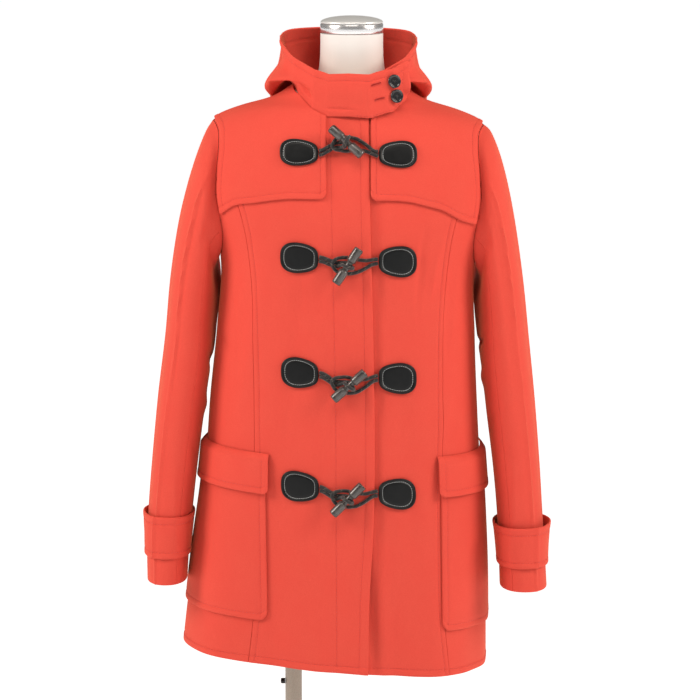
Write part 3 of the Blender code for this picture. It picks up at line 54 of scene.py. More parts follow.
coat = {
    "cloth": 0.0026,            # melton with its backing
    "seamGap": 0.00015,         # half the clearance at a seam
    "topClear": 0.0003,         # the panels' tops end this far below the shoulder line
    "hem": 0.535, "underarm": 1.10, "shoulderTip": 1.2945, "neckPoint": 1.345,
    "armholeFront": 0.070, "armholeBack": 0.076, "armholeBoxy": 2.5,
    "princessAngle": 80,        # where the princess seam meets the armhole
    "gridStep": 0.0048,         # spacing of the cloth's mesh away from seams
    "metresPerDegree": 0.0031,  # one degree round the body
    "turnedEdge": 0.0011,       # fillet inside a turned edge
}

# level, half widths, half depths, squareness (2 is an ellipse), lean towards the wearer's left
ringNames = ("level", "right", "left", "front", "back", "boxy", "lean")
ringTable = np.array((
    (0.500, 0.240, 0.196, 0.154, 0.156, 2.25, 0.075),
    (0.535, 0.237, 0.196, 0.152, 0.154, 2.25, 0.078),
    (0.650, 0.223, 0.195, 0.146, 0.148, 2.30, 0.083),
    (0.770, 0.206, 0.190, 0.140, 0.141, 2.35, 0.082),
    (0.900, 0.196, 0.183, 0.133, 0.133, 2.40, 0.065),
    (1.000, 0.186, 0.179, 0.127, 0.125, 2.45, 0.052),
    (1.100, 0.181, 0.179, 0.122, 0.119, 2.50, 0.040),
    (1.200, 0.205, 0.205, 0.114, 0.113, 2.55, 0.026),
    (1.250, 0.203, 0.203, 0.104, 0.104, 2.30, 0.020),
    (1.280, 0.197, 0.197, 0.095, 0.094, 2.10, 0.018),
    (1.2945, 0.190, 0.190, 0.089, 0.086, 1.90, 0.018),
    (1.3137, 0.147, 0.147, 0.082, 0.075, 1.80, 0.018),
    (1.3232, 0.114, 0.114, 0.076, 0.070, 1.75, 0.018),
    (1.345, 0.075, 0.075, 0.062, 0.066, 2.00, 0.018),
))

# flutes of the flared hem: middle and half breadth in degrees, how far out, where each dies away
fluteTable = (
    (-62, 9, 0.0060, 0.95), (-38, 8, -0.0050, 0.90), (-16, 7, 0.0030, 0.80), (24, 7, -0.0055, 0.72),
    (44, 9, 0.0040, 0.88), (70, 9, -0.0040, 0.85), (106, 11, 0.0070, 1.00), (136, 11, -0.0080, 0.98),
    (163, 12, 0.0090, 1.02), (192, 11, -0.0080, 1.00), (222, 12, 0.0085, 0.96), (252, 11, -0.0060, 0.92),
)

# soft creases of the body: from turn and level to turn and level, half breadth, height
bodyCreases = (
    (-27, 1.15, -36, 0.83, 0.020, -0.0022), (-48, 1.09, -58, 0.88, 0.013, 0.0020),
    (-66, 1.06, -60, 0.94, 0.010, -0.0020), (-12, 1.02, -17, 0.60, 0.015, -0.0016),
    (45, 1.165, 40, 1.04, 0.0065, -0.0022), (53, 1.150, 47, 1.06, 0.0055, 0.0016),
    (61, 1.120, 55, 0.99, 0.008, -0.0022), (30, 1.00, 34, 0.70, 0.018, -0.0018),
    (57, 0.93, 49, 0.86, 0.010, 0.0015), (-74, 0.99, -64, 0.965, 0.007, -0.0016),
    (96, 1.07, 107, 0.84, 0.018, -0.0028), (-98, 1.06, -108, 0.86, 0.016, -0.0026),
    (122, 1.10, 131, 0.80, 0.016, 0.0022), (-124, 1.11, -133, 0.74, 0.017, 0.0024),
    (150, 1.12, 163, 0.76, 0.022, -0.0028), (-152, 1.10, -166, 0.80, 0.020, -0.0024),
    (178, 1.08, 181, 0.66, 0.014, 0.0018), (165, 1.005, 197, 0.985, 0.011, -0.0020),
    (104, 0.985, 126, 0.962, 0.009, -0.0018), (-106, 0.98, -130, 0.965, 0.009, -0.0018),
)


def ease(t):
    t = np.clip(t, 0, 1)
    return t * t * (3 - 2 * t)


def smoothAt(at, knots, values):
    # cubic through the knots, with the slope at each taken from its neighbours
    at, knots, values = np.asarray(at, float), np.asarray(knots, float), np.asarray(values, float)
    slopes = np.gradient(values, knots)
    here = np.clip(np.searchsorted(knots, at) - 1, 0, len(knots) - 2)
    span = knots[here + 1] - knots[here]
    t = (at - knots[here]) / span
    body = (2 * t ** 3 - 3 * t ** 2 + 1) * values[here] + (3 * t ** 2 - 2 * t ** 3) * values[here + 1]
    bend = (t ** 3 - 2 * t ** 2 + t) * slopes[here] + (t ** 3 - t ** 2) * slopes[here + 1]
    after = values[here + 1] + (t - 1) * slopes[here + 1] * span
    before = values[here] + t * slopes[here] * span
    return np.where(t > 1, after, np.where(t < 0, before, body + bend * span))


def tableAt(at, table):
    # a table's second column at places of its first
    return smoothAt(at, table[:, 0], table[:, 1])


def unit(vectors):
    # each vector divided by its length
    return vectors / np.linalg.norm(vectors, axis=-1, keepdims=True)


def reachAlong(points):
    # distance travelled up to each point of a path
    return np.concatenate([[0], np.cumsum(np.linalg.norm(np.diff(points, axis=0), axis=-1))])


def alongPath(at, reach, values):
    # values read off at given distances along a path
    return np.stack([np.interp(at, reach, values[:, k]) for k in range(3)], axis=-1)


def spokes(angle, side, other):
    # directions round a path, a row for each of its points
    return np.cos(angle)[None, :, None] * side[:, None] + np.sin(angle)[None, :, None] * other[:, None]


def ringAt(level, name):
    return smoothAt(level, ringTable[:, 0], ringTable[:, ringNames.index(name)])


def catmullRom(before, now, after, beyond, t):
    # the cubic from now to after whose slopes come from the points beside them
    return 0.5 * (2 * now + (after - before) * t + (2 * before - 5 * now + 4 * after - beyond) * t ** 2
                  + (3 * now - before - 3 * after + beyond) * t ** 3)


def creaseRelief(p, q, table, scale):
    # each crease is a line between two places; its height falls off as a bell across it and dies
    # away towards its ends. scale turns the first coordinate into metres
    out = np.zeros(np.broadcast(p, q).shape)
    for p0, q0, p1, q1, breadth, height in table:
        dp, dq = (p1 - p0) * scale, q1 - q0
        run = dp * dp + dq * dq
        ap, aq = (p - p0) * scale, q - q0
        t = np.clip((ap * dp + aq * dq) / run, 0, 1)
        away = np.hypot(ap - t * dp, aq - t * dq)
        thin = breadth * (0.55 + 0.45 * np.sin(math.pi * np.clip(t, 0.08, 0.92)))
        out = out + height * np.exp(-(away / thin) ** 2) * (0.25 + 0.75 * np.sin(math.pi * t) ** 0.8)
    return out


def degreesFrom(turn):
    return (np.degrees(turn) + 180) % 360 - 180


def asGrids(first, second):
    return np.broadcast_arrays(np.asarray(first, float), np.asarray(second, float))


def ringRadius(turn, level):
    # a superellipse about the middle
    sine, cosine = np.sin(turn), np.cos(turn)
    wide = np.where(sine < 0, ringAt(level, "right"), ringAt(level, "left"))
    deep = np.where(cosine > 0, ringAt(level, "front"), ringAt(level, "back"))
    boxy = ringAt(level, "boxy")
    return ((np.abs(sine) / wide) ** boxy + (np.abs(cosine) / deep) ** boxy) ** (-1 / boxy)


def ringPoint(turn, level, radius):
    # the ring's points fall with its lean
    x = radius * np.sin(turn)
    return np.stack([x, -radius * np.cos(turn), level - x * ringAt(level, "lean")], axis=-1)


def plainSurface(turn, level):
    # the coat's rings without flutes or creases, for what lies inside them
    turn, level = asGrids(turn, level)
    return ringPoint(turn, level, ringRadius(turn, level))


def coatSurface(turn, level):
    # the rings plus the hem's flutes, each a bell round the coat, and the creases
    turn, level = asGrids(turn, level)
    radius = ringRadius(turn, level)
    for middle, breadth, height, top in fluteTable:
        away = (np.degrees(turn) - middle + 180) % 360 - 180
        radius = radius + height * np.exp(-(away / breadth) ** 2) * ease((top - level) / (top - coat["hem"]))
    calm = ease((1.19 - level) / 0.03)              # no creases under the yokes
    degrees = degreesFrom(turn)
    creases = creaseRelief(degrees, level, bodyCreases, coat["metresPerDegree"])
    creases = creases + creaseRelief(degrees + 360, level, bodyCreases, coat["metresPerDegree"])
    return ringPoint(turn, level, radius + calm * creases)


def alongNormal(surface, first, second, lift, steps=(1e-4, 1e-4), flatten=None):
    # the surface's point moved out by lift along the cross product of its two slopes
    first, second = asGrids(first, second)
    across = surface(first + steps[0], second) - surface(first - steps[0], second)
    up = surface(first, second + steps[1]) - surface(first, second - steps[1])
    normal = np.cross(across, up)
    if flatten is not None:
        normal = flatten(normal, second)
    normal = unit(normal)
    return surface(first, second) + np.asarray(lift)[..., None] * normal


def onCoat(turn, level, lift=0.0):
    return alongNormal(coatSurface, turn, level, lift)


def coatPoint(x, level, lift):
    # one point on the coat's front
    place, here = np.array([x]), np.array([level])
    return onCoat(turnAt(place, here), here, np.array([lift]))[0]


def turnAt(x, level, front=True):
    # the turn whose point on the ring lies at x
    x = np.asarray(x, float)
    wide = np.where(x < 0, ringAt(level, "right"), ringAt(level, "left"))
    deep = ringAt(level, "front" if front else "back")
    boxy = ringAt(level, "boxy")
    depth = deep * np.clip(1 - (np.abs(x) / wide) ** boxy, 0, 1) ** (1 / boxy)
    return np.arctan2(x, depth if front else -depth)


armholeMiddle = (coat["shoulderTip"] + coat["underarm"]) / 2
armholeHeight = (coat["shoulderTip"] - coat["underarm"]) / 2


def superellipse(angle, boxy):
    # how far the curve |cos|^boxy + |sin|^boxy = 1 lies from its middle at an angle
    return (np.abs(np.cos(angle)) ** boxy + np.abs(np.sin(angle)) ** boxy) ** (-1 / boxy)


def armholeLevel(degrees):
    # level of the armhole's edge at an angle about the shoulder, 0 at its tip
    angle = np.radians(np.asarray(degrees, float))
    return armholeMiddle + armholeHeight * superellipse(angle, coat["armholeBoxy"]) * np.cos(angle)


# the armhole's front edge keeps a little behind the plain curve over the chest: level, share
armholeChest = np.array(((1.10, 1.0), (1.132, 1.0), (1.160, 0.98), (1.205, 0.91), (1.250, 0.86),
                         (1.280, 0.88), (1.2945, 0.90)))


def chestShare(level):
    return tableAt(np.clip(level, coat["underarm"], coat["shoulderTip"]), armholeChest)


def armholeTurn(level, side, front=True):
    # the turn of the armhole's edge at a level; side is -1 on the wearer's right
    share = np.clip(np.abs(level - armholeMiddle) / armholeHeight, 0, 1)
    reach = (1 - share ** coat["armholeBoxy"]) ** (1 / coat["armholeBoxy"])
    reach = reach * (coat["armholeFront"] * chestShare(level) if front else coat["armholeBack"])
    deep = ringAt(level, "front" if front else "back")
    boxy = ringAt(level, "boxy")
    x = ringAt(level, "right" if side < 0 else "left") * (1 - (reach / deep) ** boxy) ** (1 / boxy)
    return side * np.arctan2(x, reach if front else -reach)


princessTop = float(armholeLevel(coat["princessAngle"]))
princessSeam = np.array(((0.535, 0.141), (0.60, 0.134), (0.75, 0.1310), (0.90, 0.1315), (1.05, 0.1335),
                         (1.10, 0.1375), (1.15, 0.1450), (1.183, 0.154), (1.20, 0.1610)))
lapEdge = np.array(((0.535, 0.0272), (0.63, 0.0290), (0.75, 0.0352), (1.00, 0.0347), (1.17, 0.0303),
                    (1.311, 0.0289)))
neckline = np.array(((0.0, 1.3100), (0.037, 1.3106), (0.052, 1.3185), (0.064, 1.3300), (0.075, 1.345)))
neckSideX = 0.0675
shoulderLevels = (1.345, 1.3232, 1.3085, 1.2945)
shoulderInset = 0.0022


def princessX(level):
    # the seam's distance from the middle; above its table it runs straight to the armhole
    x = tableAt(level, princessSeam)
    turn = armholeTurn(np.array(princessTop), 1)
    corner = abs(float(coatSurface(turn, np.array(princessTop))[0]))
    lastLevel, lastX = princessSeam[-1]
    share = (level - lastLevel) / (princessTop - lastLevel)
    return np.where(level > lastLevel, lastX + (corner - lastX) * share, x)


def neckLevel(x):
    return tableAt(np.abs(x), neckline)


# ---- materials

def linear(hexColour, alpha=1.0):
    # sRGB to linear light: a straight foot, then a power of 2.4
    parts = [int(hexColour[i:i + 2], 16) / 255 for i in (1, 3, 5)]
    return [p / 12.92 if p <= 0.04045 else ((p + 0.055) / 1.055) ** 2.4 for p in parts] + [alpha]


def feed(tree, node, inputs):
    # a node goes in by its first output in use, a socket is linked, a hex colour is made linear
    for name, value in inputs.items():
        if isinstance(value, bpy.types.Node):
            value = next(socket for socket in value.outputs if socket.enabled)
        if isinstance(value, bpy.types.NodeSocket):
            tree.links.new(value, node.inputs[name])
        else:
            node.inputs[name].default_value = linear(value) if isinstance(value, str) else value


def addNode(tree, kind, inputs=None, **settings):
    made = tree.nodes.new("ShaderNode" + kind)
    for name, value in settings.items():
        setattr(made, name, value)
    feed(tree, made, inputs or {})
    return made


def newMaterial(name, **sockets):
    made = bpy.data.materials.new(name)
    made.use_nodes = True
    tree = made.node_tree
    shader = tree.nodes["Principled BSDF"]
    for socket, value in sockets.items():
        shader.inputs[socket.replace("_", " ")].default_value = value
    return made, tree, shader


wool = {
    "deep": "#B8352B", "face": "#CE4337", "fibreTip": "#E25C4A",
    "fibreScale": 950,          # one nap tuft about a millimetre, coarser than real so that it shows
    "mottleScale": 38,          # cloudy patches of about 25 mm, left by fulling
    "napDepth": 0.00035, "sheen": 0.42, "sheenRoughness": 0.36,
}


def woolMelton(name, shade=0.0):
    # fulled and raised wool melton: a dense short nap hides the weave, so the face is matt with
    # a soft bright edge where it turns away, and faint cloudy patches
    made, tree, shader = newMaterial(name, Roughness=0.92, Sheen_Weight=wool["sheen"],
                                     Sheen_Roughness=wool["sheenRoughness"], Specular_IOR_Level=0.25)
    place = addNode(tree, "TexCoord").outputs["Object"]
    nap = addNode(tree, "TexNoise", {"Vector": place, "Scale": wool["fibreScale"], "Detail": 3.0,
                                     "Roughness": 0.65})
    clumps = addNode(tree, "TexNoise", {"Vector": place, "Scale": 260.0, "Detail": 2.0})
    clouds = addNode(tree, "TexNoise", {"Vector": place, "Scale": wool["mottleScale"], "Detail": 2.0})
    base = addNode(tree, "Mix", {"Factor": nap, "A": wool["deep"], "B": wool["fibreTip"]}, data_type="RGBA")
    patchy = addNode(tree, "MapRange", {"Value": clouds, "From Min": 0.35, "From Max": 0.65, "To Min": 0.45,
                                        "To Max": 0.65})
    toned = addNode(tree, "Mix", {"Factor": patchy, "A": base, "B": wool["face"]}, data_type="RGBA")
    # shade mixes in a deep red: painted shade, which darkens the buttonholes' slits
    withPaintedShade = addNode(tree, "Mix", {"Factor": shade, "A": toned, "B": "#8C1A17"}, data_type="RGBA")
    coarse = addNode(tree, "Bump", {"Height": clumps, "Strength": 0.30, "Distance": 0.0006})
    fine = addNode(tree, "Bump", {"Height": nap, "Strength": 0.45, "Distance": wool["napDepth"],
                                  "Normal": coarse})
    feed(tree, shader, {"Sheen Tint": "#FF9468", "Base Color": withPaintedShade, "Normal": fine})
    return made


def sewingThread(name, colour, roughness):
    # spun sewing thread: two plies twisted, a faint satin along each stitch
    made, tree, shader = newMaterial(name, Roughness=roughness, Sheen_Weight=0.2)
    place = addNode(tree, "TexCoord").outputs["Object"]
    twist = addNode(tree, "TexNoise", {"Vector": place, "Scale": 1800.0, "Detail": 1.0})
    shades = addNode(tree, "Mix", {"Factor": twist, "A": colour[0], "B": colour[1]}, data_type="RGBA")
    bump = addNode(tree, "Bump", {"Height": twist, "Strength": 0.3, "Distance": 0.0001})
    feed(tree, shader, {"Base Color": shades, "Normal": bump})
    return made


def patchLeather():
    # pigmented cowhide, embossed with a fine grain: near black, satin on the padded rim, its
    # pebbles about 1.1 mm, drawn a little coarser than real so that they show
    made, tree, shader = newMaterial("pigmented grain leather", Roughness=0.40, Specular_IOR_Level=0.26)
    place = addNode(tree, "TexCoord").outputs["Object"]
    pebbles = addNode(tree, "TexVoronoi", {"Vector": place, "Scale": 900.0, "Randomness": 0.9})
    haze = addNode(tree, "TexNoise", {"Vector": place, "Scale": 120.0, "Detail": 2.0})
    tone = addNode(tree, "Mix", {"Factor": haze, "A": "#060708", "B": "#0F1112"}, data_type="RGBA")
    wear = addNode(tree, "MapRange", {"Value": haze, "To Min": 0.30, "To Max": 0.46})
    bump = addNode(tree, "Bump", {"Height": pebbles, "Strength": 0.35, "Distance": 0.0002})
    feed(tree, shader, {"Base Color": tone, "Roughness": wear, "Normal": bump})
    return made


def polishedHorn():
    # buffalo horn, turned and polished: dark grey with paler streaks along the toggle, a soft
    # clear highlight down its length. The toggle's own map runs along it in metres
    made, tree, shader = newMaterial("polished buffalo horn", Roughness=0.27, Specular_IOR_Level=0.6,
                                     Coat_Weight=0.25, Coat_Roughness=0.12)
    grain = addNode(tree, "UVMap", uv_map="horn")
    stretched = addNode(tree, "Mapping", {"Vector": grain, "Scale": (7.0, 55.0, 1.0)})
    streaks = addNode(tree, "TexNoise", {"Vector": stretched, "Scale": 1.0, "Detail": 5.0,
                                         "Roughness": 0.62, "Distortion": 0.4})
    spread = addNode(tree, "MapRange", {"Value": streaks, "From Min": 0.34, "From Max": 0.66})
    tone = addNode(tree, "Mix", {"Factor": spread, "A": "#121212", "B": "#54504D"}, data_type="RGBA")
    rough = addNode(tree, "MapRange", {"Value": spread, "To Min": 0.22, "To Max": 0.36})
    feed(tree, shader, {"Base Color": tone, "Roughness": rough})
    return made


cordLook = {"diameter": 0.0050, "pitch": 0.0105, "relief": 0.00028}


def braidedCord():
    # round braided cord, black carriers with a pale fleck thread: the map runs round and along it
    made, tree, shader = newMaterial("braided polyester cord", Roughness=0.72, Sheen_Weight=0.25)
    route = addNode(tree, "UVMap", uv_map="cord")
    parts = addNode(tree, "SeparateXYZ", {"Vector": route})
    lay = []
    for sign in (1.0, -1.0):        # the two ways that carriers run round
        turns = addNode(tree, "Math", {0: parts.outputs["Y"], 1: sign / cordLook["pitch"]},
                        operation="MULTIPLY")
        whole = addNode(tree, "Math", {0: parts.outputs["X"], 1: turns}, operation="ADD")
        lay.append(whole)
    single = addNode(tree, "Math", {0: lay[0]}, operation="FRACT")
    flecks = addNode(tree, "MapRange", {"Value": single, "From Min": 0.0, "From Max": 0.09, "To Min": 1.0,
                                        "To Max": 0.0})
    cross = addNode(tree, "Math", {0: lay[1], 1: 4.0}, operation="MULTIPLY")
    cut = addNode(tree, "Math", {0: cross}, operation="FRACT")
    over = addNode(tree, "Math", {0: cut, 1: 0.5}, operation="GREATER_THAN")
    shown = addNode(tree, "Math", {0: flecks, 1: over}, operation="MULTIPLY")
    tone = addNode(tree, "Mix", {"Factor": shown, "A": "#050506", "B": "#8D8575"}, data_type="RGBA")
    place = addNode(tree, "TexCoord").outputs["Object"]
    fuzz = addNode(tree, "TexNoise", {"Vector": place, "Scale": 2200.0})
    bump = addNode(tree, "Bump", {"Height": fuzz, "Strength": 0.3, "Distance": 0.0001})
    feed(tree, shader, {"Base Color": tone, "Normal": bump})
    return made


def castResin():
    # cast polyester button, tumbled to a wet gloss, with a faint swirl
    made, tree, shader = newMaterial("cast polyester button", Roughness=0.14, Specular_IOR_Level=0.6)
    place = addNode(tree, "TexCoord").outputs["Object"]
    swirl = addNode(tree, "TexNoise", {"Vector": place, "Scale": 160.0, "Detail": 2.0, "Distortion": 1.5})
    tone = addNode(tree, "Mix", {"Factor": swirl, "A": "#101011", "B": "#2A2A2C"}, data_type="RGBA")
    feed(tree, shader, {"Base Color": tone})
    return made


def formJersey():
    # cotton jersey stretched over the form: off white, knit wales about 0.9 mm apart, drawn
    # half as coarse again so that they show at all
    made, tree, shader = newMaterial("stretched cotton jersey", Roughness=0.88, Sheen_Weight=0.15)
    place = addNode(tree, "TexCoord").outputs["Object"]
    clouds = addNode(tree, "TexNoise", {"Vector": place, "Scale": 14.0, "Detail": 2.0})
    tone = addNode(tree, "Mix", {"Factor": clouds, "A": "#DAD8D4", "B": "#E2E0DD"}, data_type="RGBA")
    # darker and warmer towards the bottom of the neck, where the hood closes round it: painted shade with a
    # warm cast
    high = addNode(tree, "SeparateXYZ", {"Vector": place})
    low = addNode(tree, "MapRange", {"Value": high.outputs["Z"], "From Min": 1.365, "From Max": 1.405,
                                     "To Min": 0.55, "To Max": 0.0})
    hoodShadeTone = addNode(tree, "Mix", {"Factor": low, "A": tone, "B": "#CFC4B6"}, data_type="RGBA")
    knit = addNode(tree, "TexNoise", {"Vector": place, "Scale": 750.0, "Detail": 1.0})
    bump = addNode(tree, "Bump", {"Height": knit, "Strength": 0.15, "Distance": 0.0002})
    feed(tree, shader, {"Base Color": hoodShadeTone, "Normal": bump})
    return made


def metalFinish(name, colours, roughness, metallic, scale, depth):
    # a metal or paint whose tone and gloss wander a little; colours are its two tones
    made, tree, shader = newMaterial(name, Roughness=roughness, Metallic=metallic)
    place = addNode(tree, "TexCoord").outputs["Object"]
    spread = addNode(tree, "Mapping", {"Vector": place, "Scale": scale})
    marks = addNode(tree, "TexNoise", {"Vector": spread, "Scale": 1.0, "Detail": 3.0})
    tone = addNode(tree, "Mix", {"Factor": marks, "A": colours[0], "B": colours[1]}, data_type="RGBA")
    gloss = addNode(tree, "MapRange", {"Value": marks, "To Min": roughness * 0.8, "To Max": roughness * 1.25})
    bump = addNode(tree, "Bump", {"Height": marks, "Strength": 0.2, "Distance": depth})
    feed(tree, shader, {"Base Color": tone, "Roughness": gloss, "Normal": bump})
    return made


meltonFace = woolMelton("fulled wool melton")
threadRed = sewingThread("red sewing thread", ("#A81E16", "#D23524"), 0.6)
threadGrey = sewingThread("grey waxed thread", ("#8E9596", "#C5CACA"), 0.4)
threadBlack = sewingThread("black button thread", ("#141414", "#2C2C2C"), 0.5)
leatherBlack = patchLeather()
hornDark = polishedHorn()
cordBlack = braidedCord()
buttonBlack = castResin()
jerseyWhite = formJersey()
steelBright = metalFinish("polished steel band", ("#DADADA", "#F0F0F0"), 0.22, 0.9, (40, 40, 900), 0.00003)
# spun aluminium: fine turning rings on the dome, which draw the light out into a bright wedge
capSpun = metalFinish("spun satin aluminium", ("#CFD1CF", "#E3E4E2"), 0.40, 0.55, (900, 900, 40), 0.00003)
paintChampagne = metalFinish("powder coated steel", ("#877D70", "#A89F92"), 0.38, 0.45, (600, 600, 600),
                             0.0001)
screwDark = metalFinish("blackened steel screw", ("#1B1B1C", "#333334"), 0.4, 0.8, (700, 700, 700), 0.00005)
print("materials made")


# ---- meshes

def addPiece(name, points, faces, look, nodes, smoothAngle):
    # a smooth mesh, sharp where its faces meet at more than smoothAngle, in place of its nodes
    mesh = bpy.data.meshes.new(name)
    mesh.from_pydata(points.tolist(), [], faces)
    mesh.update()
    mesh.shade_smooth()
    mesh.set_sharp_from_angle(angle=math.radians(smoothAngle))
    mesh.materials.append(look)
    made = bpy.data.objects.new(name, mesh)
    bpy.context.scene.collection.objects.link(made)
    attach(made, "root")
    if nodes:
        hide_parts(*nodes)
    return made


def buildPiece(name, points, faces, look, nodes, smoothAngle=50):
    # closed mesh; the sign of its volume tells whether the faces have to be turned round
    points = np.asarray(points, float)
    fans = np.array([(f[0], f[i], f[i + 1]) for f in faces for i in range(1, len(f) - 1)])
    a, b, c = points[fans[:, 0]], points[fans[:, 1]], points[fans[:, 2]]
    if np.einsum("ij,ij->i", a, np.cross(b, c)).sum() < 0:
        faces = [tuple(f)[::-1] for f in faces]
    return addPiece(name, points, faces, look, nodes, smoothAngle)


def gridFaces(rows, columns, closed, offset, flip):
    # quads between neighbouring places of a grid, as index arrays
    r = np.arange(rows - 1)[:, None]
    c = np.arange(columns if closed else columns - 1)[None, :]
    after = (c + 1) % columns
    quads = np.stack([r * columns + c, r * columns + after, (r + 1) * columns + after,
                      (r + 1) * columns + c], axis=-1)
    quads = quads.reshape(-1, 4) + offset
    return quads[:, ::-1] if flip else quads


def tubeFaces(rows, sides):
    # a tube of rings, whose two ends are drawn to the two points that follow the rings
    ring = np.arange(sides)
    after = (ring + 1) % sides
    last, count = (rows - 1) * sides, rows * sides
    faces = gridFaces(rows, sides, True, 0, False).tolist()
    faces += np.stack([after, ring, np.full(sides, count)], axis=-1).tolist()
    faces += np.stack([last + ring, last + after, np.full(sides, count + 1)], axis=-1).tolist()
    return faces


def clothShell(name, outer, inner, node, closed=False):
    # wool cloth: two matching grids, face and back, joined round their border
    rows, columns = outer.shape[:2]
    skin = rows * columns
    faces = [gridFaces(rows, columns, closed, 0, False), gridFaces(rows, columns, closed, skin, True)]
    border = []
    index = np.arange(skin).reshape(rows, columns)
    for row in (index[0], index[-1][::-1]):
        ring = np.append(row, row[0]) if closed else row
        border.append(np.stack([ring[:-1], ring[:-1] + skin, ring[1:] + skin, ring[1:]], axis=-1))
    if not closed:
        for col in (index[:, 0][::-1], index[:, -1]):
            border.append(np.stack([col[:-1], col[:-1] + skin, col[1:] + skin, col[1:]], axis=-1))
    quads = np.concatenate(faces + border)
    points = np.concatenate([outer.reshape(-1, 3), inner.reshape(-1, 3)])
    mid = outer[rows // 2, columns // 2] - inner[rows // 2, columns // 2]
    first = faces[0][(rows // 2) * (columns - (0 if closed else 1)) + columns // 2]
    corner = points[first]
    if np.dot(np.cross(corner[1] - corner[0], corner[3] - corner[0]), mid) < 0:
        quads = quads[:, ::-1]
    made = addPiece(name, points, quads.tolist(), meltonFace, [node], 55)
    area = np.linalg.norm(np.cross(outer[1:, :-1] - outer[:-1, :-1], outer[:-1, 1:] - outer[:-1, :-1]),
                          axis=-1).sum()
    print(f"  {name}: {len(quads)} faces, {area:.4f} m2 of cloth")
    return made


# An edge is how the cloth ends: "round" is the fillet's radius, "stitches" the distance of its
# topstitched line from it, "puff" how far the cloth swells between the two.
plainEdge = {"round": 0.0013, "stitches": (), "puff": 0.0}
seamEdge = {"round": 0.0008, "stitches": (), "puff": 0.0}
stitchedSeam = {"round": 0.0008, "stitches": (0.0082,), "puff": 0.0006}
grooveDepth = 0.0005
grooveBreadth = 0.0013


def edgeMarks(edge):
    # distances from an edge at which the grid needs a line
    marks = [0.0]
    if edge["round"]:
        marks += [0.18 * edge["round"], 0.5 * edge["round"], edge["round"], 1.9 * edge["round"]]
    for stitch in edge["stitches"]:
        marks += [stitch - 1.5 * grooveBreadth, stitch - 0.75 * grooveBreadth, stitch,
                  stitch + 0.75 * grooveBreadth,
                  stitch + 1.5 * grooveBreadth]
    return marks


def marksFor(startEdge, endEdge, lengths, step, extra=()):
    # distances of the grid's lines from its first edge: fixed near both edges, shared out between
    lengths = np.asarray(lengths, float)
    start = [np.full(len(lengths), m) for m in edgeMarks(startEdge)]
    for line in extra:
        start += [line + k * grooveBreadth for k in (-1.5, -0.75, 0.0, 0.75, 1.5)]
    end = [lengths - m for m in edgeMarks(endEdge)][::-1]
    gap = end[0] - start[-1]
    count = max(2, int(math.ceil(gap.max() / step)))
    between = [start[-1] + gap * k / count for k in range(1, count)]
    return np.stack(start + between + end, axis=1)


def layAcross(surface, first, second, places):
    # both parameters of a surface, at given distances along each row
    points = surface(first, second)
    steps = np.linalg.norm(np.diff(points, axis=1), axis=-1)
    reach = np.concatenate([np.zeros((len(points), 1)), np.cumsum(steps, axis=1)], axis=1)
    newFirst = np.stack([np.interp(at, far, row) for at, far, row in zip(places, reach, first)])
    newSecond = np.stack([np.interp(at, far, row) for at, far, row in zip(places, reach, second)])
    return newFirst, newSecond


def rowReach(surface, first, second):
    # each row's length along the surface
    return np.linalg.norm(np.diff(surface(first, second), axis=1), axis=-1).sum(axis=1)


def fillet(distance, radius):
    # how far a rounded edge has fallen away: the circle of its radius, read at a distance from it
    if not radius:
        return np.zeros_like(distance)
    t = np.clip(1 - distance / radius, 0, 1)
    return radius * (1 - np.sqrt(1 - t * t))


def edgeRelief(distance, edge):
    # the face falls away round the edge, sinks under each stitched line and puffs between the two
    out = -fillet(distance, edge["round"])
    for stitch in edge["stitches"]:
        out = out - grooveDepth * np.exp(-((distance - stitch) / grooveBreadth) ** 2)
        out = out + edge["puff"] * np.sin(math.pi * np.clip(distance / stitch, 0, 1))
    return out


stitchPaths = []                # every line of topstitching, as points and outward normals


def keepStitches(outer, inner, path):
    # a stitched line along the face, its normals from the cloth's back to its face
    points, below = outer[path], inner[path]
    normal = points - below
    stitchPaths.append((points, unit(normal)))


def stitchLine(edge):
    # how many grid lines in from an edge its topstitching lies
    return edgeMarks(edge).index(edge["stitches"][0])


def edgesRelief(distances, edge):
    # the reliefs of several edges together
    return sum(edgeRelief(distance, edge) for distance in distances)


def fillets(distances, radius):
    return sum(fillet(distance, radius) for distance in distances)


# ---- body panels

def denseLevels(low, high, step, marks):
    # levels as the marks ask at the low end, then evenly up to the high one
    rest = np.linspace(low + marks[-1], high, max(2, int(math.ceil((high - low - marks[-1]) / step))))
    return np.concatenate([low + np.array(marks), rest[1:]])


hemEdge = {"round": 0.0013, "stitches": (0.0100,), "puff": 0.0006}
seamLevels = denseLevels(coat["hem"], princessTop, coat["gridStep"], edgeMarks(hemEdge))
upperAngles = np.append(np.arange(coat["princessAngle"] - 3, 3, -3.0), 0.0)
frontShares = (0.17, 0.36, 0.57, 0.79, 1.0)


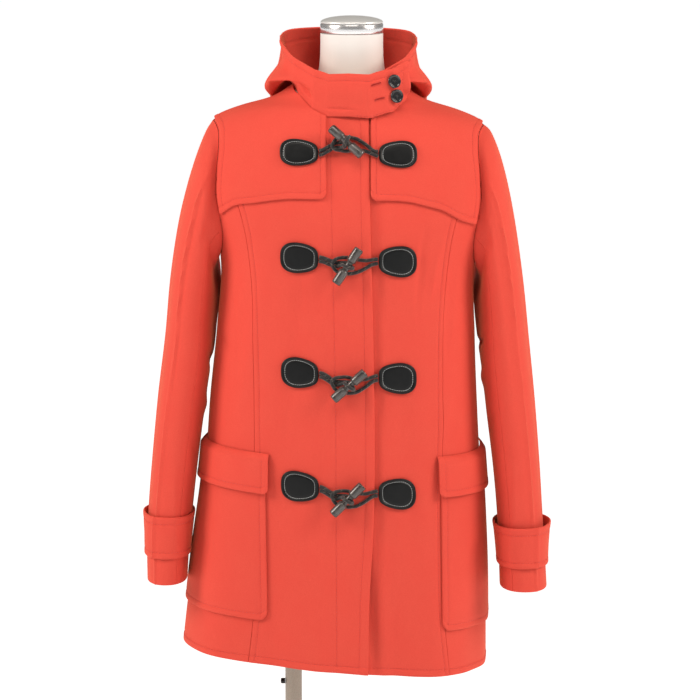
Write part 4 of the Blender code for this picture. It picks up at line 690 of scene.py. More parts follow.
def frontGrid(side):
    # turns and levels of a front panel, its columns from the lapping edge to the princess seam
    levelsBeside = np.concatenate([seamLevels, armholeLevel(upperAngles)])
    shares = (levelsBeside - coat["hem"]) / (coat["shoulderTip"] - coat["hem"])
    corner = len(seamLevels) - 1
    fixed = (None, 0.0, -0.028, -0.049) if side < 0 else (-0.027, 0.005, 0.038, 0.052)
    fixedX = [lapEdge[-1][1] if x is None else x for x in fixed]
    tops = np.concatenate([neckLevel(np.array(fixedX)), [neckLevel(neckSideX)],
                           shoulderLevels]) - coat["topClear"]
    levels = coat["hem"] + shares[:, None] * (tops[None, :] - coat["hem"])
    outerLevel = levels[:, -1]
    seamTurn = turnAt(side * princessX(outerLevel), outerLevel)
    outerTurn = np.where(outerLevel <= princessTop + 1e-6, seamTurn, armholeTurn(outerLevel, side))
    outerX = coatSurface(outerTurn, outerLevel)[:, 0]
    fan = ((outerTurn - outerTurn[corner]) / (side * quarter - outerTurn[corner])).clip(0, 1)
    fan[:corner] = 0
    climb = ((levels - levels[corner]) / (levels[-1] - levels[corner])).clip(0, 1)
    turns = np.zeros_like(levels)
    lap = tableAt(levels[:, 0], lapEdge)
    for index, x in enumerate(fixed):
        place = lap if x is None else np.full(len(shares), x)
        turns[:, index] = turnAt(place, levels[:, index])
    start = fixedX[-1]
    for index, share in enumerate(frontShares, start=len(fixed)):
        place = start + share * (outerX - start)
        if index == len(fixed):
            place = place * (1 - climb[:, index]) + side * neckSideX * climb[:, index]
        plain = turnAt(place, levels[:, index])
        if index > len(fixed):
            ridge = side * (quarter - shoulderInset)
            plain[corner:] = plain[corner] + fan[corner:] * (ridge - plain[corner])
        turns[:, index] = plain
    turns[:-1, -1] = outerTurn[:-1]
    return turns, levels


# the left front sinks under the lap, and falls into a hollow beside it low down
underlap = {"edge": -0.027, "drop": coat["cloth"] + 0.0005, "from": 0.039, "to": 0.052,
            "metresPerDegree": 0.0028}
lapHollow = ((11, 0.70, 13, 0.545, 0.011, -0.0050), (19, 0.66, 22, 0.545, 0.012, 0.0022))
placketStitch = np.array(((0.535, -0.0165), (0.92, -0.018), (1.20, -0.024), (1.32, -0.026)))


def buildFront(name, node, side):
    # the front panel; the right one laps over the left, which sinks under it
    turns, levels = frontGrid(side)
    lengths = rowReach(coatSurface, turns, levels)
    startEdge = {"round": 0.0013, "stitches": (0.0125,), "puff": 0.0007} if side < 0 else plainEdge
    extra = []
    if side < 0:                # the placket's second line, down beside the toggles
        here = levels[:, 0]
        extra = [tableAt(here, lapEdge) - np.interp(here, placketStitch[:, 0], placketStitch[:, 1])]
    places = marksFor(startEdge, stitchedSeam, lengths - coat["seamGap"], coat["gridStep"], extra)
    turns, levels = layAcross(coatSurface, turns, levels, places)
    fromEnd = (lengths - coat["seamGap"])[:, None] - places
    fromHem = levels - coat["hem"]
    onSeam = 1 - ease((levels - princessTop) / 0.004)       # above it this edge is the armhole's
    relief = edgeRelief(places, startEdge) + edgeRelief(fromHem, hemEdge)
    relief = relief + edgeRelief(fromEnd, stitchedSeam) * onSeam
    back = -coat["cloth"] + fillet(places, coat["turnedEdge"]) + fillet(fromHem, coat["turnedEdge"])
    lift = np.zeros_like(places)
    if side > 0:
        x = coatSurface(turns, levels)[..., 0]
        lift = -underlap["drop"] * ease((underlap["to"] - x) / (underlap["to"] - underlap["from"]))
        lift = lift + creaseRelief(degreesFrom(turns), levels, lapHollow, underlap["metresPerDegree"])
    else:
        relief = relief - grooveDepth * np.exp(-((places - extra[0][:, None]) / grooveBreadth) ** 2)
        slack = ease((0.045 - places) / 0.045) * ease((0.66 - levels) / 0.12)
        # the lap stands off a little, most at its lower corner
        lift = lift + 0.0022 * slack + 0.0009 * ease((0.022 - places) / 0.022)
    outer, inner = onCoat(turns, levels, lift + relief), onCoat(turns, levels, lift + back)
    piece = clothShell(name, outer, inner, node)
    hemRow = stitchLine(hemEdge)
    keepStitches(outer, inner, (slice(3, len(seamLevels) - 6), -1 - stitchLine(stitchedSeam)))
    if side < 0:
        first = len(edgeMarks(startEdge))
        for col in (stitchLine(startEdge), first + 2):
            keepStitches(outer, inner, (slice(hemRow, -9), col))
        keepStitches(outer, inner, (hemRow, slice(7, -3)))
    else:
        keepStitches(outer, inner, (hemRow, slice(18, -3)))
    return piece


for side, tag, node in bothSides:
    buildFront("coatFront" + tag, "front_" + node, side)

sideShares = (0.0, 0.08, 0.24, 0.48, 0.74, 1.0)
sideAngles = (80, 100, 120, 140, 160, 180)


def sideFrontTurn(side, share, level):
    # a line down the side front, at a share of the way from the princess seam to the side
    top = np.interp(share, sideShares, armholeLevel(sideAngles))
    seamLevel = coat["hem"] + (level - coat["hem"]) / (top - coat["hem"]) * (princessTop - coat["hem"])
    seamTurn = turnAt(side * princessX(seamLevel), seamLevel)
    return seamTurn + share * (side * quarter - seamTurn)


def finishPanel(name, node, turns, levels, seamTop):
    # a panel with a seam down both sides, as far up as seamTop, and a stitched hem
    lengths = rowReach(coatSurface, turns, levels)
    places = marksFor(seamEdge, seamEdge, lengths - 2 * coat["seamGap"], coat["gridStep"])
    turns, levels = layAcross(coatSurface, turns, levels, places + coat["seamGap"])
    fromEnd = (lengths - 2 * coat["seamGap"])[:, None] - places
    fromHem = levels - coat["hem"]
    onSeam = 1 - ease((levels - seamTop) / 0.01)
    relief = (edgeRelief(places, seamEdge) + edgeRelief(fromEnd, seamEdge)) * onSeam + edgeRelief(fromHem,
                                                                                                  hemEdge)
    outer = onCoat(turns, levels, relief)
    inner = onCoat(turns, levels, -coat["cloth"] + fillet(fromHem, coat["turnedEdge"]))
    keepStitches(outer, inner, (stitchLine(hemEdge), slice(3, -3)))
    return clothShell(name, outer, inner, node)


def buildSideFront(name, node, side):
    # columns from the princess seam to the side seam, their tops along the armhole
    shares = np.linspace(0, 1, 41)
    topLevels = armholeLevel(np.interp(shares, sideShares, sideAngles))
    topTurn = armholeTurn(topLevels, side)
    seamTurn = turnAt(side * princessX(seamLevels), seamLevels)
    climb = (seamLevels - coat["hem"]) / (princessTop - coat["hem"])
    levels = coat["hem"] + climb[:, None] * (topLevels[None, :] - coat["topClear"] - coat["hem"])
    turns = seamTurn[:, None] + shares[None, :] * (side * quarter - seamTurn[:, None])
    blend = ease((climb - 0.75) / 0.25)[:, None]
    turns = turns * (1 - blend) + blend * topTurn[None, :]
    turns[:, 0] = seamTurn
    turns[:, -1] = side * quarter
    return finishPanel(name, node, turns, levels, 2.0)


for side, tag, node in bothSides:
    buildSideFront("coatSideFront" + tag, "side_front_" + node, side)

backTops = shoulderLevels[::-1] + (coat["neckPoint"],) * 4
backShares = np.array((0.0, 0.10, 0.20, 0.33, 0.50, 0.67, 0.83, 1.0))
backNeckShares = (0.25, 0.5, 0.75, 1.0)
backAngles = np.append(np.arange(177, 3, -3.0), 0.0)


def backHalf(side):
    # turns and levels from a side seam to the centre back
    climbed = coat["hem"] + (seamLevels - coat["hem"]) / (princessTop - coat["hem"]) * (coat["underarm"]
                                                                                        - coat["hem"])
    edgeLevels = np.concatenate([climbed, armholeLevel(backAngles)])
    edgeTurn = np.concatenate([np.full(len(climbed), side * quarter),
                               armholeTurn(armholeLevel(backAngles), side, False)])
    corner = len(climbed) + int(np.argmin(np.abs(backAngles - 81)))
    climb = (edgeLevels - coat["hem"]) / (coat["shoulderTip"] - coat["hem"])
    levels = coat["hem"] + climb[:, None] * (np.array(backTops)[None, :] - coat["topClear"] - coat["hem"])
    turns = edgeTurn[:, None] + backShares[None, :] * (side * math.pi - edgeTurn[:, None])
    for col, margin in ((1, 4), (2, 10)):       # these columns keep outside the armhole's lower curve
        beside = np.abs(armholeTurn(levels[:, col], side, False)) + math.radians(margin)
        low = (levels[:, col] > coat["underarm"]) & (levels[:, col] < armholeMiddle)
        soft = ease((levels[:, col] - coat["underarm"]) / 0.02)
        wanted = np.maximum(np.abs(turns[:, col]), beside)
        mixed = np.abs(turns[:, col]) * (1 - soft) + wanted * soft
        turns[low, col] = side * mixed[low]
    fan = ((edgeTurn - edgeTurn[corner]) / (side * quarter - edgeTurn[corner]))[corner:, None]
    topTurns = side * quarter * (1 + np.array((0.0,) * 4 + backNeckShares))
    topTurns[:4] += side * shoulderInset
    turns[corner:] = turns[corner] + fan * (topTurns - turns[corner])
    turns[corner:-1, 0] = edgeTurn[corner:-1]
    return turns, levels


def joinHalves(left, right):
    # the left half's columns, then the right half's in reverse, so that turns run on past the centre back
    turns = np.concatenate([left[0], (2 * math.pi + right[0])[:, -2::-1]], axis=1)
    levels = np.concatenate([left[1], right[1][:, -2::-1]], axis=1)
    return turns, levels


finishPanel("coatBack", "back", *joinHalves(backHalf(1), backHalf(-1)), coat["underarm"])
print("body panels made")


# ---- yokes

yoke = {
    "lift": 0.0006, "innerX": 0.0305, "armholeGap": 0.0045, "armholeCorner": 0.004, "neckClear": 0.0010,
    "cornerRadius": {"front": 0.0100, "back": 0.004}, "loft": {"front": 0.0004, "back": 0.0006},
    "gridStep": {"front": 0.0042, "back": 0.0045}, "edgeLevel": {"front": 1.19, "back": 1.18},
    "startLevel": {"front": 1.145, "back": 1.15},       # rows from here up are kept
}
yokeEdge = {"round": 0.0013, "stitches": (0.0085,), "puff": 0.0006}
frontYokeLow = {-1: (1.1955, 1.1951, 1.1948, 1.1939, 1.1909, 1.1863, 1.1811, 1.1652),
                1: (1.1955, 1.1955, 1.1955, 1.1937, 1.1889, 1.1827, 1.1695, 1.1620)}
backYokeLow = (1.1650, 1.1710, 1.1750, 1.1775, 1.1780, 1.1780, 1.1780, 1.1780)


def betweenLevels(turns, levels, low, high, edge, step):
    # each column again, from its low end to its high end, with lines close together at the low edge
    marks = np.array(edgeMarks(edge))
    longest = (high - low).max()
    count = max(3, int(math.ceil((longest - marks[-1]) / step)))
    shares = np.linspace(0, 1, count)[1:]
    newLevels = np.concatenate([low[None] + marks[:, None],
                                low[None] + marks[-1] + shares[:, None] * (high - low - marks[-1])[None]])
    return columnwise(newLevels, levels, turns), newLevels, newLevels - low[None]


def columnwise(newLevels, levels, values):
    # each column's values, read at its new levels
    return np.stack([np.interp(newLevels[:, c], levels[:, c], values[:, c])
                     for c in range(levels.shape[1])], axis=1)


def finishYoke(name, node, turns, levels, kind, lowTable):
    # evenly spaced columns over a rough grid, then rows down to the shaped low edge. A column's
    # spot is its place among the rough grid's columns, where lowTable holds the edge's level
    back = kind == "back"
    step = yoke["gridStep"][kind]
    rough = np.tile(np.arange(turns.shape[1], dtype=float), (len(turns), 1))
    lengths = rowReach(coatSurface, turns, levels)
    places = marksFor(yokeEdge, yokeEdge, lengths, step)
    spots = layAcross(lambda a, b: coatSurface(turns, levels), rough, rough, places)[0]
    turns, levels = layAcross(coatSurface, turns, levels, places)
    measured = levels.shape[1] // 2 if back else 0
    nearEdge = int(np.argmin(np.abs(levels[:, measured] - yoke["edgeLevel"][kind])))
    spot = spots[nearEdge]
    low = smoothAt(spot, np.arange(len(lowTable)), lowTable) + fillet(places[nearEdge],
                                                                      yoke["cornerRadius"][kind])
    low = low + fillet(lengths[nearEdge] - places[nearEdge], yoke["armholeCorner"])
    neckShare = (np.minimum(spot, len(lowTable) - 1 - spot) - 2.8) / 0.6 if back else (3.2 - spot) / 0.6
    high = levels[-1] - yoke["neckClear"] * ease(neckShare)
    newTurns, newLevels, fromLow = betweenLevels(turns, levels, low, high, yokeEdge, step)
    fromStart = columnwise(newLevels, levels, places)
    fromEnd = columnwise(newLevels, levels, lengths[:, None] - places)
    distances = (fromStart, fromEnd, fromLow)
    relief = edgesRelief(distances, yokeEdge)
    under = yoke["lift"] + fillets(distances, 0.0010)
    loft = yoke["loft"][kind] * ease(1 - fromLow / 0.03)        # the free edge stands off a little
    outer = onCoat(newTurns, newLevels, yoke["lift"] + coat["cloth"] + relief + loft)
    inner = onCoat(newTurns, newLevels, under + loft)
    line = stitchLine(yokeEdge)
    for path in ((line, slice(line, -line)), (slice(line, -1 if back else -2), line),
                 (slice(line, -1), -1 - line)):
        keepStitches(outer, inner, path)
    return clothShell(name, outer, inner, node)


def buildFrontYoke(name, node, side):
    # the front's upper columns, from the placket to just short of the armhole
    turns, levels = frontGrid(side)
    shares = (np.concatenate([seamLevels, armholeLevel(upperAngles)]) - coat["hem"]) / (coat["shoulderTip"]
                                                                                        - coat["hem"])
    innerLevels = coat["hem"] + shares * (float(neckLevel(yoke["innerX"])) - coat["hem"])
    innerTurns = turnAt(np.full_like(innerLevels, side * yoke["innerX"]), innerLevels)
    edgeTurn = armholeTurn(levels[:, -1].clip(coat["underarm"]), side)
    reach = np.linalg.norm(coatSurface(edgeTurn, levels[:, -1])[:, :2], axis=-1)
    turns[:-1, -1] = (edgeTurn - side * yoke["armholeGap"] / reach)[:-1]
    levels[-1, -1] += 0.45 * yoke["armholeGap"]
    turns = np.column_stack([innerTurns, turns[:, 3:-1], turns[:, -2:].mean(axis=1), turns[:, -1]])
    levels = np.column_stack([innerLevels, levels[:, 3:-1], levels[:, -2:].mean(axis=1), levels[:, -1]])
    keep = slice(int(np.argmin(np.abs(levels[:, -1] - yoke["startLevel"]["front"]))), None)
    turns, levels = turns[keep], levels[keep]
    turns[-1, 3:] = side * (quarter - 1.3 * shoulderInset)
    return finishYoke(name, node, turns, levels, "front", frontYokeLow[side])


for side, tag, node in bothSides:
    buildFrontYoke("coatFrontYoke" + tag, "yoke_front_" + node, side)


def buildBackYoke():
    # the back's upper columns, from armhole to armhole
    halves = []
    for side in (1, -1):
        turns, levels = backHalf(side)
        edgeTurn = armholeTurn(levels[:, 0].clip(coat["underarm"]), side, False)
        reach = np.linalg.norm(coatSurface(edgeTurn, levels[:, 0])[:, :2], axis=-1)
        turns[:-1, 0] = (edgeTurn + side * yoke["armholeGap"] / reach)[:-1]
        levels[-1, 0] += 0.45 * yoke["armholeGap"]
        turns[-1, :4] = side * (quarter + 1.3 * shoulderInset)
        keep = slice(int(np.argmin(np.abs(levels[:, 0] - yoke["startLevel"]["back"]))), None)
        halves.append((turns[keep], levels[keep]))
    turns, levels = joinHalves(*halves)
    return finishYoke("coatBackYoke", "yoke_back", turns, levels, "back", backYokeLow + backYokeLow[-2::-1])


buildBackYoke()
print("yokes made")


# ---- sleeves

sleeveNames = ("outerX", "outerZ", "innerX", "innerZ", "middleY", "depth")
sleeveRight = np.array((
    (-0.1904, 1.2979, -0.1838, 1.1070, 0.003, 0.0730), (-0.2010, 1.2810, -0.1890, 1.0900, 0.002, 0.0780),
    (-0.2150, 1.2460, -0.1900, 1.0760, 0.001, 0.0800), (-0.2290, 1.2000, -0.1890, 1.0600, 0.000, 0.0795),
    (-0.2410, 1.1480, -0.1900, 1.0400, -0.001, 0.0785), (-0.2520, 1.0750, -0.1915, 1.0120, -0.003, 0.0765),
    (-0.2595, 0.9950, -0.1935, 0.9680, -0.007, 0.0740), (-0.2700, 0.9100, -0.2030, 0.8980, -0.013, 0.0710),
    (-0.2785, 0.8200, -0.2135, 0.8170, -0.022, 0.0670), (-0.2835, 0.7550, -0.2205, 0.7550, -0.030, 0.0635),
    (-0.2860, 0.7000, -0.2260, 0.7000, -0.036, 0.0610), (-0.2855, 0.6500, -0.2290, 0.6500, -0.041, 0.0595),
))
sleeveLeft = np.array((
    (0.1904, 1.2911, 0.1818, 1.0930, 0.003, 0.0730), (0.2010, 1.2800, 0.1855, 1.0780, 0.002, 0.0780),
    (0.2140, 1.2480, 0.1860, 1.0640, 0.001, 0.0800), (0.2260, 1.2020, 0.1850, 1.0480, 0.000, 0.0795),
    (0.2370, 1.1430, 0.1855, 1.0280, -0.001, 0.0785), (0.2475, 1.0680, 0.1860, 1.0000, -0.003, 0.0765),
    (0.2555, 0.9900, 0.1880, 0.9600, -0.007, 0.0740), (0.2640, 0.9050, 0.1950, 0.8900, -0.013, 0.0710),
    (0.2710, 0.8150, 0.2050, 0.8080, -0.022, 0.0670), (0.2755, 0.7400, 0.2110, 0.7400, -0.030, 0.0635),
    (0.2790, 0.6850, 0.2135, 0.6850, -0.036, 0.0610), (0.2815, 0.6400, 0.2150, 0.6400, -0.041, 0.0595),
))
sleeve = {"boxy": 2.25, "fade": 1.6, "armholeClear": 0.0004, "frontSeam": 120.0, "backSeam": 240.0,
          "metresPerStation": 0.062, "metresPerDegree": 0.00115,
          "hemPerStation": 0.05, "headPerStation": 0.022}

# creases: from angle and distance down the sleeve to angle and distance, half breadth, height.
# The first two of each side are the pressed crease down the outer front
rightCreases = (
    (66, 0.04, 63, 0.42, 0.0038, 0.0040), (63, 0.36, 59, 0.72, 0.0038, 0.0036),
    (74, 0.08, 68, 0.42, 0.0100, -0.0016), (28, 0.18, 24, 0.58, 0.0120, -0.0012),
    (112, 0.05, 96, 0.17, 0.0080, -0.0026), (150, 0.37, 214, 0.395, 0.0085, -0.0034),
    (146, 0.425, 208, 0.445, 0.0080, 0.0026), (128, 0.47, 160, 0.50, 0.0080, -0.0018),
    (-60, 0.30, -104, 0.37, 0.0090, -0.0028), (-52, 0.40, -100, 0.45, 0.0085, 0.0020),
    (-62, 0.46, -108, 0.50, 0.0090, -0.0024), (-62, 0.08, -68, 0.66, 0.0065, 0.0014),
    (96, 0.50, 120, 0.66, 0.0100, 0.0014), (8, 0.60, -20, 0.69, 0.0100, -0.0014),
    (200, 0.04, 196, 0.38, 0.0260, 0.0071), (229, 0.04, 226, 0.40, 0.0220, 0.0098),
    # resting against the side
)
leftCreases = (
    (70, 0.05, 65, 0.42, 0.0038, 0.0038), (65, 0.36, 60, 0.72, 0.0038, 0.0034),
    (88, 0.08, 78, 0.44, 0.0100, -0.0016), (32, 0.20, 26, 0.54, 0.0120, -0.0012),
    (116, 0.05, 100, 0.16, 0.0080, -0.0024), (148, 0.33, 212, 0.350, 0.0085, -0.0032),
    (146, 0.385, 210, 0.410, 0.0085, 0.0028), (134, 0.44, 170, 0.46, 0.0080, -0.0020),
    (-58, 0.32, -102, 0.38, 0.0090, -0.0026), (-54, 0.41, -98, 0.46, 0.0085, 0.0020),
    (-60, 0.48, -106, 0.52, 0.0090, -0.0022), (-64, 0.08, -66, 0.66, 0.0065, 0.0014),
    (100, 0.49, 122, 0.64, 0.0100, 0.0014), (4, 0.58, -24, 0.68, 0.0100, -0.0014),
    (200, 0.04, 196, 0.37, 0.0260, 0.0071), (229, 0.04, 226, 0.39, 0.0220, 0.0098),
)


def armholePoints(angle, side):
    # the armhole's edge as a loop about the shoulder, just outside the panels' edges
    reach = superellipse(angle, coat["armholeBoxy"])
    level = armholeMiddle + armholeHeight * reach * np.cos(angle)
    across = reach * np.sin(angle)
    y = -np.where(across > 0, coat["armholeFront"] * chestShare(level), coat["armholeBack"]) * across
    deep = np.where(y < 0, ringAt(level, "front"), ringAt(level, "back"))
    boxy = ringAt(level, "boxy")
    wide = ringAt(level, "right" if side < 0 else "left")
    x = side * wide * np.clip(1 - (np.abs(y) / deep) ** boxy, 0, 1) ** (1 / boxy)
    return np.stack([x + side * sleeve["armholeClear"], y, level - x * ringAt(level, "lean")], axis=-1)


def sleeveRing(table, station, angle):
    # a superellipse between the ring's outer and inner points
    knots = np.arange(len(table), dtype=float)
    row = {name: smoothAt(station, knots, table[:, i]) for i, name in enumerate(sleeveNames)}
    reach = superellipse(angle, sleeve["boxy"])
    along, across = reach * np.cos(angle), reach * np.sin(angle)
    x = (row["outerX"] + row["innerX"]) / 2 + along * (row["outerX"] - row["innerX"]) / 2
    z = (row["outerZ"] + row["innerZ"]) / 2 + along * (row["outerZ"] - row["innerZ"]) / 2
    return np.stack([x, row["middleY"] - across * row["depth"], z], axis=-1)


def sleeveSurface(side):
    table = sleeveRight if side < 0 else sleeveLeft

    def surface(angle, station):
        # the rings, drawn to the armhole's own loop near the top
        angle, station = asGrids(angle, station)
        plain = sleeveRing(table, station, angle)
        start = armholePoints(angle, side) - sleeveRing(table, np.zeros_like(station), angle)
        return plain + ease(1 - station / sleeve["fade"])[..., None] * start
    return surface


def onSleeve(side, angle, station, lift):
    # the sleeve's surface with its creases, moved out by lift
    degrees = (np.degrees(angle) + 120) % 360 - 120
    creases = creaseRelief(degrees, station * sleeve["metresPerStation"],
                           rightCreases if side < 0 else leftCreases, sleeve["metresPerDegree"])
    lift = lift + creases * ease(station / 1.2)

    def square(normal, where):      # the first ring's edge faces the body squarely
        scaled = normal.copy()
        scaled[..., 0] *= ease(where / 0.4)
        return scaled * side
    return alongNormal(sleeveSurface(side), angle, station, lift, (1e-3, 1e-3), square)


def buildSleevePart(name, node, side, start, end):
    # columns from one long seam to the other, rows down to the hem
    hemMarks = np.array([0, 0.0003, 0.0008, 0.0014, 0.0024]) / sleeve["hemPerStation"]
    last = len(sleeveRight) - 1
    stations = np.concatenate([[0.0, 0.006, 0.018, 0.04, 0.08],
                               np.linspace(0.15, last - hemMarks[-1] - 0.03, 138), last - hemMarks[::-1]])
    coarse = np.radians(np.linspace(start, end, 49))
    angles = np.tile(coarse, (len(stations), 1))
    levels = np.tile(stations[:, None], (1, len(coarse)))
    surface = sleeveSurface(side)
    lengths = rowReach(surface, angles, levels)
    places = marksFor(seamEdge, seamEdge, lengths - 2 * coat["seamGap"], coat["gridStep"])
    angles, levels = layAcross(surface, angles, levels, places + coat["seamGap"])
    fromEnd = (lengths - 2 * coat["seamGap"])[:, None] - places
    fromHem = (last - levels) * sleeve["hemPerStation"]
    relief = -0.6 * fillet(places, seamEdge["round"]) - 0.6 * fillet(fromEnd,
                                                                     seamEdge["round"]) - fillet(fromHem,
                                                                                                 0.0013)
    head = -fillet(levels * sleeve["headPerStation"], 0.0012) * 0.7
    outer = onSleeve(side, angles, levels, relief + head)
    inner = onSleeve(side, angles, levels, -coat["cloth"] + fillet(fromHem, coat["turnedEdge"]))
    piece = clothShell(name, outer, inner, node)
    return piece


for side, tag, node in bothSides:
    buildSleevePart("sleeveTop" + tag, "top_sleeve_" + node, side, sleeve["backSeam"] - 360,
                    sleeve["frontSeam"])
    buildSleevePart("sleeveUnder" + tag, "under_sleeve_" + node, side, sleeve["frontSeam"],
                    sleeve["backSeam"])

strap = {
    "from": 9.15, "to": 10.25, "height": 0.0545, "cornerFlare": 0.0022,
    "stand": {-1: 0.0022, 1: 0.0062}, "inside": {-1: 0.15, 1: 0.62},        # by side
    "edge": {"round": 0.0013, "stitches": (0.0088,), "puff": 0.0005},
}


def buildCuffStrap(name, node, side):
    # a ring of cloth about the sleeve, its upper edge flared off the outside
    height = strap["height"]
    marks = np.array(edgeMarks(strap["edge"])) / height
    middle = np.linspace(marks[-1], 1 - marks[-1], 9)[1:-1]
    shares = np.concatenate([marks, middle, 1 - marks[::-1]])
    angles = np.linspace(0, 2 * math.pi, 96, endpoint=False)[None, :] + 0 * shares[:, None]
    stations = strap["from"] + shares[:, None] * (strap["to"] - strap["from"]) + 0 * angles
    outside = np.clip(0.5 + 0.5 * np.cos(angles), 0, 1)
    flare = np.interp(shares, (0, 0.5, 1), (1.0, 0.45, 0.1))[:, None]
    degrees = np.degrees(angles) % 360
    bell = np.exp(-((degrees - 355) / 26) ** 2) + np.exp(-((degrees + 5) / 26) ** 2)
    cornerFlare = strap["cornerFlare"] * bell * (1 - shares[:, None]) ** 2
    near = strap["inside"][side]
    stand = 0.0006 + strap["stand"][side] * flare * (near + (1 - near) * outside) + cornerFlare
    distances = [along[:, None] * height + 0 * angles for along in (shares, 1 - shares)]
    outer = onSleeve(side, angles, stations, stand + coat["cloth"] + edgesRelief(distances, strap["edge"]))
    inner = onSleeve(side, angles, stations, stand + fillets(distances, coat["turnedEdge"]))
    line = stitchLine(strap["edge"])
    for at in (line, len(shares) - 1 - line):
        keepStitches(outer, inner, (at, np.r_[0:outer.shape[1], 0]))
    return clothShell(name, outer, inner, node, closed=True)


for side, tag, node in bothSides:
    buildCuffStrap("cuffStrap" + tag, "cuff_strap_" + node, side)
print("sleeves made")


# ---- hood

hoodNames = ("turn", "shelfOut", "shelfUp", "lowOut", "lowUp", "wideOut", "wideUp", "waistOut", "waistUp",
             "rimOut", "rimUp")
hoodTable = np.array((
    (0, 0.0005, 0.008, 0.0012, 0.017, 0.0016, 0.030, 0.0012, 0.044, -0.001, 0.0580),
    (30, 0.0005, 0.008, 0.0012, 0.017, 0.0016, 0.030, 0.0012, 0.043, -0.001, 0.0570),
    (48, 0.0010, 0.007, 0.0035, 0.013, 0.0050, 0.023, 0.0040, 0.037, 0.003, 0.0520),
    (62, 0.0030, 0.011, 0.0085, 0.018, 0.0180, 0.020, 0.0110, 0.034, 0.012, 0.0520),
    (78, 0.0060, 0.014, 0.0180, 0.012, 0.0370, 0.012, 0.0200, 0.034, 0.019, 0.0590),
    (96, 0.0130, 0.009, 0.0340, -0.013, 0.0430, 0.001, 0.0190, 0.038, 0.024, 0.0645),
    (115, 0.0200, 0.003, 0.0460, -0.023, 0.0520, 0.003, 0.0300, 0.040, 0.034, 0.0680),
    (128, 0.0270, -0.008, 0.0600, -0.047, 0.0720, -0.018, 0.0560, 0.030, 0.048, 0.0710),
    (140, 0.0360, -0.018, 0.0740, -0.098, 0.0960, -0.060, 0.0780, 0.020, 0.060, 0.0740),
    (160, 0.0400, -0.024, 0.0700, -0.150, 0.1180, -0.106, 0.1160, 0.006, 0.066, 0.0760),
    (180, 0.0420, -0.026, 0.0740, -0.165, 0.1240, -0.118, 0.1260, 0.002, 0.068, 0.0765),
))
hood = {"wall": 0.0028, "step": -0.0006, "tabClear": 0.0042, "tabFlare": 0.0095, "seat": 0.0022,
        "tabRise": -0.0012,
        "metresPerClimb": 0.14, "metresPerDegree": 0.0014,
        "rim": {"round": 0.0014, "stitches": (0.0100,), "puff": 0.0006}}

# creases of the hood: from turn and climb in metres to turn and climb, half breadth, height
hoodCreases = (
    (-52, 0.085, -37, 0.052, 0.0085, -0.0042), (-60, 0.075, -47, 0.050, 0.0045, 0.0020),
    (-101, 0.110, -96, 0.070, 0.0050, 0.0024), (-92, 0.105, -88, 0.075, 0.0060, -0.0022),
    (-118, 0.100, -112, 0.045, 0.0080, -0.0030), (-76, 0.115, -66, 0.075, 0.0075, 0.0018),
    (92, 0.108, 98, 0.072, 0.0055, 0.0018), (84, 0.100, 80, 0.070, 0.0060, -0.0018),
    (112, 0.100, 118, 0.045, 0.0080, -0.0028), (-20, 0.035, 4, 0.030, 0.0080, -0.0014),
    (136, 0.095, 148, 0.035, 0.0120, -0.0036), (-138, 0.092, -149, 0.032, 0.0120, -0.0034),
    (158, 0.085, 172, 0.030, 0.0120, 0.0030), (-160, 0.090, -173, 0.035, 0.0120, 0.0026),
    (150, 0.118, 168, 0.095, 0.0090, -0.0024), (-146, 0.120, -166, 0.098, 0.0090, -0.0026),
)


def tabShare(turn):
    # grows from 0 before the middle to 1 where the tab has crossed it
    return ease((np.degrees(turn) + 26) / 40)


def tabLift(turn):
    # the tab lies over the other half, and its end stands off further
    return hood["tabClear"] * tabShare(turn) + hood["tabFlare"] * np.clip((np.degrees(turn) - 12) / 24, 0,
                                                                          1) ** 1.2


def neckKnots():
    # the ends of the panels' columns at the neck, as turns and levels
    xs = np.array([0.0, 0.028, 0.049, neckSideX])
    places = turnAt(xs, neckLevel(xs))
    back = quarter * (1 + np.array((0.0,) + backNeckShares))
    return np.concatenate([places, back]), np.concatenate([neckLevel(xs),
                                                           np.full(len(back), coat["neckPoint"])])


neckTurns, neckLevels = neckKnots()
neckPoints = np.stack([coatSurface(sign * neckTurns, neckLevels) for sign in (1.0, -1.0)])


def necklineAt(turn):
    # the neck opening's edge, straight between the ends of the panels' columns
    place = np.interp(np.abs(turn), neckTurns, np.arange(len(neckTurns)))
    here = np.clip(np.floor(place).astype(int), 0, len(neckTurns) - 2)
    share = (place - here)[..., None]
    which = (turn < 0).astype(int)
    return neckPoints[which, here] * (1 - share) + neckPoints[which, here + 1] * share


def blendKnots(place, values):
    # Catmull-Rom through arrays that stand at place 0, 1, 2 and so on
    stack = np.stack([2 * values[0] - values[1], *values, 2 * values[-1] - values[-2]])
    here = np.clip(np.floor(place).astype(int), 0, len(values) - 2)
    t = place - here
    return catmullRom(*(np.take_along_axis(stack, (here + k)[None], 0)[0] for k in range(4)), t)


